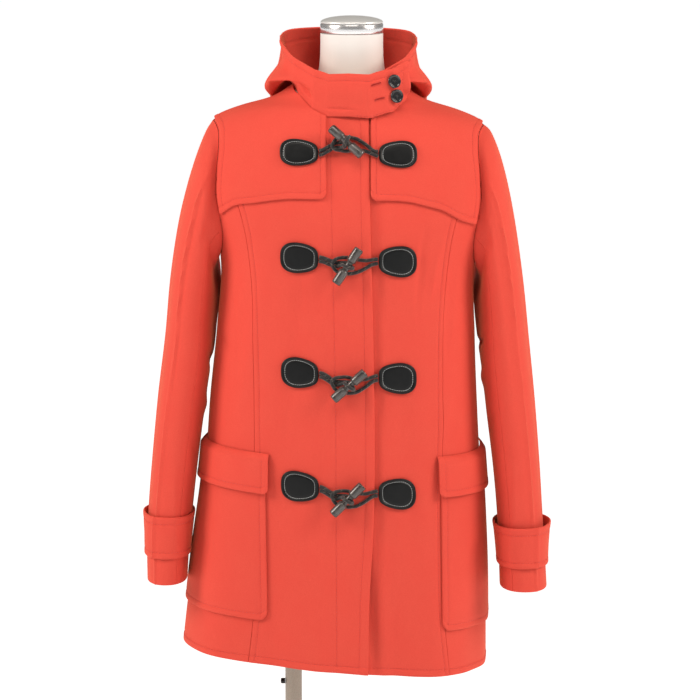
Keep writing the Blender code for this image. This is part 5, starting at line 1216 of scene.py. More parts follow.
def hoodSurface(turn, climb):
    # climb runs from 0 at the neckline to 1 at the rim, through the section's own stops
    turn, climb = asGrids(turn, climb)
    knots = np.radians(hoodTable[:, 0])
    row = {name: smoothAt(np.abs(turn), knots, hoodTable[:, i]) for i, name in enumerate(hoodNames) if i}
    stops = ("shelf", "low", "wide", "waist", "rim")
    outs = [np.full(turn.shape, hood["seat"])] + [row[stop + "Out"] for stop in stops]
    outs[1] = outs[1] + 0.6 * hood["seat"]
    ups = [np.full(turn.shape, hood["step"])] + [row[stop + "Up"] for stop in stops]
    ups[0] = ups[0] + hood["tabRise"] * tabShare(turn)
    ups[1] = ups[1] + hood["tabRise"] * tabShare(turn)
    place = np.clip(climb, 0, 1) * (len(outs) - 1)
    out, up = blendKnots(place, outs), blendKnots(place, ups)
    away = np.stack([np.sin(turn), -np.cos(turn), np.zeros_like(turn)], axis=-1)
    return necklineAt(turn) + out[..., None] * away + up[..., None] * np.array([0.0, 0.0, 1.0])


def onHood(turn, climb, lift):
    # the hood's surface with its creases, moved out by lift
    creases = creaseRelief(np.degrees(turn), climb * hood["metresPerClimb"], hoodCreases,
                           hood["metresPerDegree"])
    lift = lift + creases * ease(climb / 0.1) * ease((1 - climb) / 0.08)
    turn, climb = asGrids(turn, climb)
    step = 1e-3
    across = hoodSurface(turn + step, climb) - hoodSurface(turn - step, climb)
    low, high = np.clip(climb - step, 0, 1), np.clip(climb + step, 0, 1)
    normal = unit(np.cross(across, hoodSurface(turn, high) - hoodSurface(turn, low)))
    return hoodSurface(turn, climb) + lift[..., None] * normal


def buildHoodHalf(name, node, start, end, tabEnd):
    # columns round the neck, rows up from the seam, close together at the rim and the stitching
    tabRadius = 0.075           # turns this far from the middle become metres along the tab
    turns = np.linspace(start, end, 1 + int(round(abs(end - start) / math.radians(1.5))))
    near = np.radians(np.array([0, 0.12, 0.35, 0.8, 1.3]))
    tabStitch = np.radians(np.array([5.6, 6.5, 7.4]))
    if tabEnd:
        turns = np.concatenate([turns[turns < end - math.radians(8.5)], end - tabStitch[::-1],
                                [end - math.radians(3.2)], end - near[::-1]])
    climbs = np.linspace(0, 1, 161)
    t2, c2 = np.meshgrid(turns, climbs, indexing="ij")
    lengths = rowReach(hoodSurface, t2, c2)
    places = marksFor(seamEdge, hood["rim"], lengths, 0.0036)
    t2, c2 = layAcross(hoodSurface, t2, c2, places)
    fromRim = lengths[:, None] - places
    relief = -0.6 * fillet(places, coat["turnedEdge"]) + edgeRelief(fromRim, hood["rim"])
    facingSeam = 0.0009 * np.exp(-((fromRim - 0.021) / 0.0016) ** 2)
    back = -hood["wall"] + fillet(fromRim, 0.0012) + facingSeam
    lift = np.zeros_like(places)
    if tabEnd:
        lift = lift + tabLift(t2)
        fromTab = (end - t2) * tabRadius
        groove = np.exp(-((fromTab - math.radians(6.5) * tabRadius) / grooveBreadth) ** 2)
        relief = relief - fillet(fromTab, 0.0013) - grooveDepth * groove
        back = back + fillet(fromTab, coat["turnedEdge"])
        # the tab's end lifts
        lift = lift + 0.0022 * ease(1 - fromTab / 0.02) * ease((places / lengths[:, None] - 0.05) / 0.5)
    outer, inner = onHood(t2, c2, lift + relief), onHood(t2, c2, lift + back)
    seamX = coat["seamGap"] * 1.5
    for grid in (outer, inner):         # the seam down the hood's middle is straight
        grid[0 if tabEnd else -1, :, 0] = -seamX if tabEnd else seamX
    piece = clothShell(name, outer, inner, node)
    rimColumn = -1 - stitchLine(hood["rim"])
    lastRow = len(turns) - 7 if tabEnd else len(turns)
    keepStitches(outer, inner, (slice(0, lastRow), rimColumn))
    if tabEnd:                  # the line turns down the tab's end and back along its lower edge
        keepStitches(outer, inner, (lastRow - 1, slice(12, rimColumn + 1)))
        startRow = int(np.argmin(np.abs(turns - math.radians(6))))
        keepStitches(outer, inner, (slice(startRow, lastRow), 7))
    return piece


hoodRight = buildHoodHalf("hoodRight", "hood_right", -math.pi, float(neckTurns[3]), True)
hoodLeft = buildHoodHalf("hoodLeft", "hood_left", float(neckTurns[1]), math.pi, False)
print("hood made")


# ---- pockets and flaps

pocket = {"lift": 0.0010, "bulge": 0.0026, "corner": 0.014, "flapCorner": 0.009, "flapStep": 0.0018,
          "flapStand": 0.0012,
          "edge": {"round": 0.0013, "stitches": (0.0088,), "puff": 0.0005}}
# side, front edge, back edge in degrees, bottom and top, then the flap's front edge, bottom, top and rise
pocketTable = (
    ("Right", -1, 0.1155, 99, 0.597, 0.822, 0.1105, 0.7760, 0.8330, 0.000),
    ("Left", 1, 0.1280, 99, 0.600, 0.834, 0.1230, 0.7890, 0.8450, 0.007),
)


def pocketTurns(side, frontX, backTurn, levels):
    # turns of the pocket's columns: its front edge, the side front's lines, its back edge
    firstShare = 0.0 if frontX < 0.12 else 0.08
    rows = [turnAt(side * frontX, levels)]
    for share in (firstShare, 0.24, 0.48, 0.74, 1.0):
        rows.append(sideFrontTurn(side, share, levels))
    rows.append(np.full(len(levels), side * math.radians(backTurn)))
    return np.stack(rows, axis=1)


def pocketGrid(side, frontX, backTurn, bottom, top, rise, corner, step):
    # rows of level across the pocket, with its two lower corners rounded: turns, levels, distances
    # from its lower edge, start and end, and the share of the way across
    edge = pocket["edge"]
    levels = np.linspace(bottom - 0.01, top + rise + 0.01, 60)
    turns = pocketTurns(side, frontX, backTurn, levels)
    grid = np.tile(levels[:, None], (1, turns.shape[1]))
    lengths = rowReach(coatSurface, turns, grid)
    places = marksFor(edge, edge, lengths, step)
    turns, grid = layAcross(coatSurface, turns, grid, places)
    middle = len(levels) // 2
    across = places[middle] / lengths[middle]
    low = bottom + rise * across + fillet(places[middle], corner) + fillet(lengths[middle] - places[middle],
                                                                           corner)
    high = top + rise * across
    newTurns, newLevels, fromLow = betweenLevels(turns, grid, low, high, edge, step)
    share = np.broadcast_to(across[None, :], newLevels.shape)
    fromStart = np.broadcast_to(places[middle][None, :], newLevels.shape)
    fromEnd = lengths[middle] - fromStart
    return newTurns, newLevels, fromLow, fromStart, fromEnd, share


def layPanel(name, node, grid, lift, trim):
    # an edge-stitched panel laid on the coat, open along its top; its lift counts from the coat
    turns, levels, distances = grid[0], grid[1], grid[2:5]
    relief = edgesRelief(distances, pocket["edge"]) - trim
    under = fillets(distances, 0.001)
    outer = onCoat(turns, levels, lift + coat["cloth"] + relief)
    inner = onCoat(turns, levels, lift + under)
    clothShell(name, outer, inner, node)
    row = stitchLine(pocket["edge"])
    for path in ((row, slice(row, -row)), (slice(row, -2), row), (slice(row, -2), -1 - row)):
        keepStitches(outer, inner, path)


for tag, side, frontX, backTurn, bottom, top, flapX, flapBottom, flapTop, rise in pocketTable:
    grid = pocketGrid(side, frontX, backTurn, bottom, top, 0.0, pocket["corner"], 0.0045)
    levels, across = grid[1], grid[5]
    upward = (levels - bottom) / (top - bottom)
    slack = (np.sin(math.pi * across) * np.sin(math.pi * np.clip(upward, 0, 1) * 0.85)).clip(0) ** 0.7
    layPanel("pocket" + tag, "pocket_" + tag.lower(), grid, pocket["lift"] + pocket["bulge"] * slack, 0.0)

    grid = pocketGrid(side, flapX, backTurn + 1.5, flapBottom, flapTop, rise, pocket["flapCorner"], 0.0040)
    levels, fromStart, across = grid[1], grid[3], grid[5]
    low, high = flapBottom + rise * across, flapTop + rise * across
    upward = ((levels - low) / (high - low)).clip(0, 1)
    step = (top + pocket["flapStep"] - flapBottom) / (flapTop - flapBottom)
    slack = np.sin(math.pi * across).clip(0) ** 0.5
    over = (coat["cloth"] + 0.0009 + pocket["bulge"] * slack) * ease((1 - upward) / (1 - step))
    away = pocket["flapStand"] * (1 - upward) + 0.0018 * np.exp(-fromStart / 0.02) * (1 - upward)
    layPanel("flap" + tag, "flap_" + tag.lower(), grid, pocket["lift"] + over + away,
             fillet((high - levels).clip(0), 0.0013))
print("pockets made")


# ---- topstitching

def capsuleStitches(name, paths, stitch, look):
    # one short capsule per stitch, along each path; its ends dip into the cloth
    rings, sides = 5, 5
    u = np.linspace(-1, 1, rings)
    v = np.arange(sides) * 2 * math.pi / sides
    body = np.stack([np.repeat(u, sides), np.tile(np.cos(v), rings), np.tile(np.sin(v), rings)], axis=-1)
    girth = np.repeat(np.sqrt(np.clip(1 - (np.abs(u) ** 2.4) * 0.88, 0.05, 1)), sides)
    points, faces, count = [], [], 0
    ringFaces = gridFaces(rings, sides, True, 0, False)
    caps = [tuple(range(sides))[::-1], tuple((rings - 1) * sides + k for k in range(sides))]
    for path, normals in paths:
        reach = reachAlong(path)
        number = int(reach[-1] / stitch["pitch"])
        if number < 2:
            continue
        at = (np.arange(number) + 0.5) * reach[-1] / number
        centre, normal = alongPath(at, reach, path), alongPath(at, reach, normals)
        along = unit(alongPath(at + 0.001, reach, path) - alongPath(at - 0.001, reach, path))
        side = unit(np.cross(normal, along))
        normal = np.cross(along, side)
        local, radius = body[None], stitch["radius"]
        lifted = radius * 0.75 - stitch["sink"] * np.abs(local[..., 0]) ** 2
        placed = (centre[:, None] + along[:, None] * (local[..., :1] * stitch["length"] / 2)
                  + side[:, None] * (local[..., 1:2] * radius * girth[None, :, None])
                  + normal[:, None] * (local[..., 2:3] * radius * girth[None, :, None] + lifted[..., None]))
        points.append(placed.reshape(-1, 3))
        base = (count + np.arange(number) * len(body))[:, None]
        faces += (ringFaces[None] + base[..., None]).reshape(-1, 4).tolist()
        for cap in caps:
            faces += (np.array(cap)[None] + base).tolist()
        count += number * len(body)
    buildPiece(name, np.concatenate(points), faces, look, [], 80)
    print(f"  {name}: {len(faces)} faces")


topstitch = {"pitch": 0.0046, "length": 0.0036, "radius": 0.00034, "sink": 0.00045}
patchStitch = {"pitch": 0.0031, "length": 0.0027, "radius": 0.00036, "sink": 0.00035}
overcast = {"pitch": 0.00085, "length": 0.0008, "radius": 0.00045, "sink": 0.0001}
capsuleStitches("topstitching", stitchPaths, topstitch, threadRed)
print("topstitching made")


# ---- leather patches, toggles and cords

# level of the patches, their height, the toggle's middle, tilt in degrees, how far it stands off, what
# lies under, how wide the loop opens
fasteningTable = (
    (1.2576, 0.0362, -0.0027, 1.2705, -39.0, 0.0175, yoke["lift"] + coat["cloth"], 0.82),
    (1.1131, 0.0435, -0.0013, 1.1055, 57.0, 0.0150, 0.0, 1.0),
    (0.9523, 0.0435, 0.0014, 0.9400, 44.0, 0.0150, 0.0, 1.0),
    (0.7925, 0.0435, -0.0010, 0.7815, 48.0, 0.0150, 0.0, 1.0),
)
patch = {"length": 0.0525, "near": 0.0415, "lift": 0.0008, "narrow": 0.84, "bluntPower": 0.60,
         "roundPower": 0.72, "stitchShare": 0.795}
# the patch's section from its edge to its middle: share of the outline, height above the cloth
patchSection = np.array((
    (0.995, 0.0000), (1.000, 0.0005), (1.000, 0.0012), (0.992, 0.0020), (0.972, 0.0026), (0.945, 0.0029),
    (0.910, 0.0029),
    (0.875, 0.0026), (0.840, 0.0020), (0.815, 0.0015), (0.795, 0.0013), (0.772, 0.0015), (0.745, 0.0019),
    (0.700, 0.0021),
    (0.600, 0.0022), (0.450, 0.0022), (0.280, 0.0023), (0.120, 0.0023),
))


def patchOutline(length, height, count):
    # a shield: cut square where the cords come out, its half height growing to the round end
    angle = np.linspace(0, 2 * math.pi, count, endpoint=False) + math.pi / count
    along = np.sign(np.cos(angle)) * np.abs(np.cos(angle)) ** patch["roundPower"]
    share = (along + 1) / 2
    half = height / 2 * (patch["narrow"] + (1 - patch["narrow"]) * ease(share * 1.5))
    power = patch["bluntPower"] + (patch["roundPower"] - patch["bluntPower"]) * ease(share)
    across = np.sign(np.sin(angle)) * np.abs(np.sin(angle)) ** power
    return share * length, across * half


def evenOutline(length, height, count):
    # the outline's points again, evenly spaced
    along, across = (np.append(values, values[0]) for values in patchOutline(length, height, 720))
    reach = np.concatenate([[0], np.cumsum(np.hypot(np.diff(along), np.diff(across)))])
    at = np.arange(count) * reach[-1] / count
    return np.interp(at, reach, along), np.interp(at, reach, across)


greyPaths = []


def buildPatch(name, node, side, level, height, under):
    # a padded leather shield: its section carried round the outline, from edge to middle
    count = 96
    along, across = evenOutline(patch["length"], height, count)
    middle = patch["length"] * 0.52
    share, lift = patchSection[:, :1], patchSection[:, 1:]
    x = side * (patch["near"] + middle + (along[None] - middle) * share)
    here = level + across[None] * share
    nearStitch = np.exp(-((share - patch["stitchShare"]) / 0.05) ** 2)
    ripple = 0.00012 * np.sin(np.arange(count) * 2 * math.pi / 24)[None] * nearStitch
    grid = onCoat(turnAt(x, here), here, under + patch["lift"] + lift + ripple)
    poles = [coatPoint(side * (patch["near"] + middle), level, under + patch["lift"] + up)
             for up in (0.0, 0.0023)]
    points = np.concatenate([grid.reshape(-1, 3), np.array(poles)])
    buildPiece(name, points, tubeFaces(len(patchSection), count), leatherBlack, [node], 60)
    row = int(np.argmin(np.abs(patchSection[:, 0] - patch["stitchShare"])))
    loop = grid[row][np.r_[0:count, 0]]
    turns = turnAt(x[row], here[row])
    normal = onCoat(turns, here[row], np.full(count, 0.01)) - onCoat(turns, here[row], np.zeros(count))
    greyPaths.append((loop, normal[np.r_[0:count, 0]] / 0.01))


for number, row in enumerate(fasteningTable, start=1):
    for side, tag, node in bothSides:
        buildPatch(f"leatherPatch{tag}{number}", f"patch_{node}_{number}", side, row[0], row[1], row[6])
capsuleStitches("patchStitching", greyPaths, patchStitch, threadGrey)

toggle = {"length": 0.058, "radius": 0.0067, "waist": 0.0044, "end": 0.0060, "bevel": 0.0010,
          "notch": 0.0082, "waistReach": 0.0062}


def toggleFrame(row):
    # the toggle's middle, its long direction upwards, the direction out of the coat, and the one across
    x, level, tilt, stand = row[2:6]
    half = toggle["length"] / 2
    run, rise = half * math.cos(math.radians(tilt)), half * math.sin(math.radians(tilt))
    ends = [coatPoint(x + sign * run, level + sign * rise, stand) for sign in (-1, 1)]
    middle = (ends[0] + ends[1]) / 2
    along = unit(ends[1] - ends[0])
    upward = along if along[2] > 0 else -along
    outward = np.array([0.0, -1.0, 0.0])
    outward = unit(outward - upward * outward.dot(upward))
    across = np.cross(upward, outward)
    return middle, upward, outward, across if across[0] > 0 else -across


def meshRow(parts, field):
    # one whole number for each part of a mesh
    row = np.zeros(len(parts), int)
    parts.foreach_get(field, row)
    return row


def writeMap(mesh, name, u, v):
    # u and v for each corner of each face
    spots = np.stack([u, v], axis=-1).astype(np.float32)
    mesh.uv_layers.new(name=name).data.foreach_set("uv", spots.ravel())


def turnedPiece(name, profile, base, axis, sides, look, nodes, uvName=None, bend=None, smoothAngle=35):
    # a profile of (radius, height) carried round an axis, its two ends closed by a point
    profile = np.asarray(profile, float)
    axis = unit(np.asarray(axis, float))
    helper = np.array([0.0, 0.0, 1.0]) if abs(axis[2]) < 0.9 else np.array([1.0, 0.0, 0.0])
    side = unit(np.cross(helper, axis))
    other = np.cross(axis, side)
    angle = np.arange(sides) * 2 * math.pi / sides
    radius = profile[:, :1] * np.ones(sides)[None]
    height = profile[:, 1:] + np.zeros(sides)[None]
    if bend is not None:
        radius, height = bend(radius, height, angle[None] + np.zeros_like(radius))
    spoke = np.cos(angle)[:, None] * side + np.sin(angle)[:, None] * other
    grid = np.asarray(base) + height[..., None] * axis + radius[..., None] * spoke[None]
    poles = [grid[0].mean(axis=0), grid[-1].mean(axis=0)]
    points = np.concatenate([grid.reshape(-1, 3), np.array(poles)])
    piece = buildPiece(name, points, tubeFaces(len(profile), sides), look, nodes, smoothAngle)
    if uvName:
        far = np.concatenate([height.reshape(-1), [height[0, 0], height[-1, 0]]])
        around = np.concatenate([np.tile(angle, len(profile)), [0, 0]]) / (2 * math.pi)
        loops = meshRow(piece.data.loops, "vertex_index")
        writeMap(piece.data, uvName, np.abs(around[loops] - 0.5) * 2, far[loops])


def buildToggle(name, node, row, seed):
    # a horn toggle: bevelled ends, a notch either side and a narrow waist
    middle, upward, outward, across = toggleFrame(row)
    half = toggle["length"] / 2
    ends = [(0.0012, half + 0.0001), (toggle["end"] - 0.0006, half), (toggle["end"], half - 0.0003),
            (0.0065, half - toggle["bevel"]),
            (toggle["radius"], half - 0.0026), (toggle["radius"] * 1.01, half * 0.6),
            (toggle["radius"], toggle["notch"] + 0.0016),
            (0.0063, toggle["notch"]), (0.0049, toggle["notch"] - 0.0011),
            (toggle["waist"], toggle["waistReach"])]
    profile = [(radius, -height) for radius, height in ends] + [(toggle["waist"], 0.0)] + ends[::-1]

    def carved(radius, height, angle):      # hand finished: each end a little out of round
        wander = 1 + 0.012 * np.sin(2 * angle + seed) + 0.008 * np.sin(3 * angle + 140 * height + seed)
        return radius * wander, height
    turnedPiece(name, profile, middle, upward, 40, hornDark, [node], "horn", carved, 38)


cordRadius = cordLook["diameter"] / 2
cord = {"strand": 0.0029, "lift": cordRadius + 0.0006, "end": 0.00096}
strandPlaces = (-(patch["near"] - cord["end"]), -0.035, -0.029, -0.0235, -0.018)
waistTurns = ((-112, 0.0029), (-70, 0.0027), (-25, 0.0020), (20, 0.0010), (65, 0.0), (110, -0.0012),
              (155, -0.0022), (200, -0.0028))
loopRoute = ((0.0350, 0.0031, 0.0028), (0.0295, 0.0038, 0.0028), (0.0230, 0.0055, 0.0028),
             (0.0110, 0.0090, 0.0032),
             (-0.0020, 0.0112, 0.0044), (-0.0110, 0.0106, 0.0058), (-0.0185, 0.0070, 0.0080))
loopEnd = (-0.0222, 0.0092)


def yokeShare(x):
    # 0 beside the placket, 1 over the front yoke
    return float(ease((abs(x) - 0.019) / 0.010))


def clothPoint(row, x, above, lift):
    # a place above the cloth, its level drifting from the patch's towards the toggle's
    drift = (row[3] - row[0]) * float(ease((patch["near"] - abs(x)) / 0.030))
    return coatPoint(x, row[0] + drift + above, lift)


def curveThrough(points, step):
    # evenly spaced points of a smooth curve, with the distance travelled to each
    points = np.asarray(points, float)
    stack = np.concatenate([[2 * points[0] - points[1]], points, [2 * points[-1] - points[-2]]])
    place = np.linspace(0, len(points) - 1, 60 * len(points))
    here = np.clip(np.floor(place).astype(int), 0, len(points) - 2)
    t = (place - here)[:, None]
    fine = catmullRom(*(stack[here + k] for k in range(4)), t)
    reach = reachAlong(fine)
    wanted = np.linspace(0, reach[-1], max(6, int(round(reach[-1] / step))) + 1)
    return alongPath(wanted, reach, fine), wanted


def buildCord(name, node, route, phase):
    # a tube along the route; its radius rises and falls with the braid's carriers both ways round
    path, far = curveThrough(route, 0.0009)
    along = unit(np.gradient(path, axis=0))
    side = np.zeros_like(path)
    side[0] = np.cross(along[0], (0.0, -1.0, 0.0))
    for k in range(1, len(path)):           # the frame is carried along without twist
        side[k] = side[k - 1] - along[k] * np.dot(side[k - 1], along[k])
    side = unit(side)
    other = np.cross(along, side)
    sides = 18
    angle = np.arange(sides) * 2 * math.pi / sides
    turns = angle[None] / (2 * math.pi)
    lay = far[:, None] / cordLook["pitch"] + phase
    weave = np.cos(2 * math.pi * 4 * (turns + lay)) * np.cos(2 * math.pi * 4 * (turns - lay))
    radius = cordRadius - cordLook["relief"] * 0.5 + cordLook["relief"] * weave
    radius = radius * np.interp(far, (0, 0.0006, far[-1] - 0.0006, far[-1]), (0.82, 1, 1, 0.82))[:, None]
    grid = path[:, None] + radius[..., None] * spokes(angle, side, other)
    points = np.concatenate([grid.reshape(-1, 3), path[:1], path[-1:]])
    piece = buildPiece(name, points, tubeFaces(len(path), sides), cordBlack, [node], 70)
    mesh = piece.data
    loops = meshRow(mesh.loops, "vertex_index")
    u = np.concatenate([np.tile(turns[0], len(path)), [0, 0]])[loops].reshape(-1)
    v = np.concatenate([np.repeat(far + phase * cordLook["pitch"], sides), [far[0], far[-1]]])[loops]
    totals = meshRow(mesh.polygons, "loop_total")
    owner = np.repeat(np.arange(len(totals)), totals)
    wraps = np.zeros(len(totals), bool)
    np.logical_or.at(wraps, owner, u > 0.9)
    u = np.where(wraps[owner] & (u < 0.1), u + 1.0, u)      # faces over the join run on past one
    writeMap(mesh, "cord", u, v)


for number, row in enumerate(fasteningTable, start=1):
    buildToggle(f"hornToggle{number}", f"toggle_{number}", row, 1.7 * number)
    middle, upward, outward, across = toggleFrame(row)
    under = row[6]
    upper, lower = ([clothPoint(row, x, above, cord["lift"] + under * yokeShare(x)) for x in strandPlaces]
                    for above in (cord["strand"], -cord["strand"]))
    reach = toggle["waist"] + cordRadius + 0.0009
    route = list(upper)
    for degrees, along in waistTurns:
        turn = math.radians(degrees)
        route.append(middle + upward * along + reach * (math.cos(turn) * across + math.sin(turn) * outward))
    buildCord(f"toggleCord{number}", f"toggle_cord_{number}", route + lower[::-1], 0.13 * number)
    halves = []
    for sign in (1, -1):
        half = [clothPoint(row, patch["near"] - cord["end"], sign * 0.0030, cord["lift"] + under)]
        for x, away, lift in loopRoute:
            half.append(clothPoint(row, x, sign * away * row[7], lift + 0.0003 + under * yokeShare(x)))
        halves.append(half)
    route = halves[0] + [clothPoint(row, loopEnd[0], 0.0, loopEnd[1])] + halves[1][::-1]
    buildCord(f"loopCord{number}", f"loop_cord_{number}", route, 0.31 * number)
print("toggles, cords and patches made")


# ---- buttons and buttonholes

button = {"lift": 0.0030, "holeRadius": 0.00095, "holeReach": 0.0021, "thread": 0.00042}
buttonTable = (("Upper", "button_upper", 34.0, 0.78), ("Lower", "button_lower", 37.0, 0.47))


def tabPoint(turn, climb, lift):
    # a place on the throat tab, moved out by lift
    turn, climb = asGrids(turn, climb)
    return onHood(turn, climb, tabLift(turn) + lift)


holeAngles = [math.pi / 4 + k * math.pi / 2 for k in range(4)]
blackPaths, holePaths = [], []
for tag, node, turn, climb in buttonTable:
    here, rise = np.array([math.radians(turn)]), np.array([climb])
    near = tabPoint(here, rise, np.array([button["lift"]]))[0]
    outward = unit(tabPoint(here, rise, np.array([1.0]))[0] - tabPoint(here, rise, np.array([0.0]))[0])
    # it hangs on its thread, turned to the front
    outward = unit(0.45 * outward + 0.55 * np.array([0.0, -1.0, 0.12]))
    # from the back: flat base, rounded rim, a raised ring, then a dished middle
    section = np.array(((0.0010, 0.0), (0.0060, 0.0), (0.0078, 0.0003), (0.0089, 0.0009), (0.0095, 0.0017),
                        (0.0095, 0.0024),
                        (0.0091, 0.0031), (0.0084, 0.0034), (0.0076, 0.0033), (0.0070, 0.0028),
                        (0.0065, 0.0024)))
    dish = np.stack([np.linspace(0.0062, 0.0003, 26), np.full(26, 0.0023)], axis=-1)
    profile = np.concatenate([section, dish])

    def drilled(radius, height, angle):
        # four holes sink the dish where a place lies within a hole's radius of its middle
        out = height.copy()
        for at in holeAngles:
            away = np.hypot(radius * np.cos(angle) - button["holeReach"] * math.cos(at),
                            radius * np.sin(angle) - button["holeReach"] * math.sin(at))
            out = out - 0.0015 * ease((button["holeRadius"] - away)
                                      / 0.0004) * (height > 0.0020) * (radius < 0.0060)
        return radius, out
    turnedPiece("button" + tag, profile, near, outward, 64, buttonBlack, [node], None, drilled, 40)
    helper = unit(np.cross((0.0, 0.0, 1.0), outward))
    other = np.cross(outward, helper)
    for first, second in ((0, 2), (1, 3)):      # thread crossed through the holes
        ends = [near + outward * 0.0021 + button["holeReach"] * (math.cos(at) * helper + math.sin(at) * other)
                for at in (holeAngles[first], holeAngles[second])]
        line = np.stack([ends[0] + (ends[1] - ends[0]) * t for t in np.linspace(0, 1, 9)])
        blackPaths.append((line, np.tile(outward, (9, 1))))


def threadBars(name, paths, radius, look):
    # an arched bar of thread along each path
    points, faces, count = [], [], 0
    sides = 8
    for path, normals in paths:
        along = unit(np.gradient(path, axis=0))
        side = unit(np.cross(normals, along))
        other = np.cross(along, side)
        angle = np.arange(sides) * 2 * math.pi / sides
        arch = 0.0006 * np.sin(math.pi * np.linspace(0, 1, len(path)))
        centre = path + normals * arch[:, None]
        grid = centre[:, None] + radius * spokes(angle, side, other)
        points.append(grid.reshape(-1, 3))
        faces += gridFaces(len(path), sides, True, count, False).tolist()
        faces += [tuple(count + k for k in range(sides))[::-1],
                  tuple(count + (len(path) - 1) * sides + k for k in range(sides))]
        count += len(path) * sides
    buildPiece(name, np.concatenate(points), faces, look, [], 80)


threadBars("buttonThread", blackPaths, button["thread"], threadBlack)

# buttonholes: each slit is a thin sheet on the tab, darkened with painted shade, with an overcast edge,
# running towards the throat from beneath each button
slitPoints, slitFaces, slitCount = [], [], 0
for tag, node, turn, climb in buttonTable:
    startTurn, endTurn = math.radians(turn - 15.0), math.radians(turn - 6.0)
    t = np.linspace(startTurn, endTurn, 25)
    for sign in (1, -1):
        line = tabPoint(t, np.full(25, climb) + sign * 0.0185, np.full(25, 0.0002))
        normal = tabPoint(t, np.full(25, climb), np.full(25, 0.01)) - tabPoint(t, np.full(25, climb),
                                                                               np.zeros(25))
        holePaths.append((line, normal / 0.01))
    grid, low = (np.stack([tabPoint(t, np.full(25, climb) + s, np.full(25, lift))
                           for s in (-0.012, 0.0, 0.012)])
                 for lift in (0.0003, 0.00002))
    slitPoints += [grid.reshape(-1, 3), low.reshape(-1, 3)]
    rows, columns = grid.shape[:2]
    skin = rows * columns
    index = np.arange(skin).reshape(rows, columns)
    border = np.concatenate([index[0], index[1:, -1], index[-1, ::-1][1:], index[::-1, 0][1:]])
    rim = np.stack([border[1:], border[:-1], border[:-1] + skin, border[1:] + skin], axis=-1) + slitCount
    for faces in (gridFaces(rows, columns, False, slitCount, False),
                  gridFaces(rows, columns, False, slitCount + skin, True), rim):
        slitFaces += faces.tolist()
    slitCount += 2 * skin
# the slits' sheets carry painted shade in place of the openings' own shadow
buttonholePaintedShade = woolMelton("wool with painted shade in the buttonhole", 0.8)
buildPiece("buttonholeSlitShade", np.concatenate(slitPoints), slitFaces, buttonholePaintedShade, [], 50)
capsuleStitches("buttonholeStitching", holePaths, overcast, threadRed)
print("buttons made")


# ---- the dress form and its stand

form = {"neckRadius": 0.0440, "neckX": 0.0045, "neckY": 0.004, "neckTop": 1.4185, "bandHeight": 0.0137}
formTable = np.array((
    (0.720, 0.052, 0.040, 0.030), (0.800, 0.043, 0.034, 0.024), (0.880, 0.046, 0.036, 0.028),
    (0.970, 0.056, 0.040, 0.034),
    (1.060, 0.040, 0.030, 0.026), (1.150, 0.030, 0.018, 0.016), (1.220, 0.026, 0.014, 0.010),
    (1.265, 0.012, 0.012, 0.008),
    (1.2945, 0.0030, 0.018, 0.014), (1.3137, 0.0030, 0.022, 0.016), (1.3232, 0.0030, 0.024, 0.018),
    (1.3400, 0.0036, 0.022, 0.018),
))


def buildForm():
    # the coat's own rings moved inwards, then the neck's ellipses
    turns = np.linspace(0, 2 * math.pi, 72, endpoint=False)
    levels = np.concatenate([[0.720, 0.7215, 0.724, 0.728], np.linspace(0.735, 1.28, 70),
                             np.linspace(1.2835, 1.340, 22)])
    grid = []
    for level in levels:
        side, front, back = (float(smoothAt(level, formTable[:, 0], formTable[:, k])) for k in (1, 2, 3))
        power = 2 + 12 * float(ease((level - 1.265) / 0.02))
        sine = np.abs(np.sin(turns)) ** power
        inward = side * sine + np.where(np.cos(turns) > 0, front, back) * (1 - sine) + 0.0002
        inward = inward + 0.006 * (1 - math.sqrt(1 - max(0.0, 1 - (level - 0.720) / 0.008) ** 2))
        grid.append(alongNormal(plainSurface, turns, np.full(len(turns), level), -inward))
    knots = np.array(((1.345, 0.0600, 0.0520), (1.350, 0.0560, 0.0490), (1.362, 0.0485, 0.0460),
                      (1.380, 0.0450, 0.0442),
                      (1.400, 0.0441, 0.0440), (form["neckTop"], form["neckRadius"], form["neckRadius"])))
    for height in np.linspace(1.347, form["neckTop"], 26):
        wide, deep = (float(smoothAt(height, knots[:, 0], knots[:, k])) for k in (1, 2))
        grid.append(np.stack([form["neckX"] + wide * np.sin(turns), form["neckY"] - deep * np.cos(turns),
                              np.full(len(turns), height)], axis=-1))
    grid = np.stack(grid)
    grid[0, :, 2] = grid[0, :, 2].mean()
    rows, sides = grid.shape[:2]
    points = np.concatenate([grid.reshape(-1, 3), [grid[0].mean(axis=0), grid[-1].mean(axis=0)]])
    buildPiece("dressForm", points, tubeFaces(rows, sides), jerseyWhite, ["form_torso"], 50)


buildForm()
neckMiddle = (form["neckX"], form["neckY"], form["neckTop"] + 0.0003)
neck, band = form["neckRadius"], form["bandHeight"]
turnedPiece("neckBand", ((0.010, 0.0), (neck - 0.0014, 0.0), (neck - 0.0004, 0.0004),
                         (neck + 0.0002, 0.0012), (neck + 0.0002, band - 0.0012),
                         (neck - 0.0004, band - 0.0004), (neck - 0.0014, band), (0.010, band)),
            neckMiddle, (0, 0, 1), 96, steelBright, ["form_neck_band"], smoothAngle=50)
capArc = [(neck * math.cos(a), 0.0014 + 0.0092 * math.sin(a))
          for a in np.linspace(0.0, math.pi / 2 * 0.985, 26)]
turnedPiece("neckCap", [(0.010, 0.0), (neck - 0.0012, 0.0), (neck - 0.0002, 0.0005)] + capArc,
            (form["neckX"], form["neckY"], form["neckTop"] + band + 0.0006), (0, 0, 1), 96, capSpun,
            ["form_neck_cap"], smoothAngle=50)

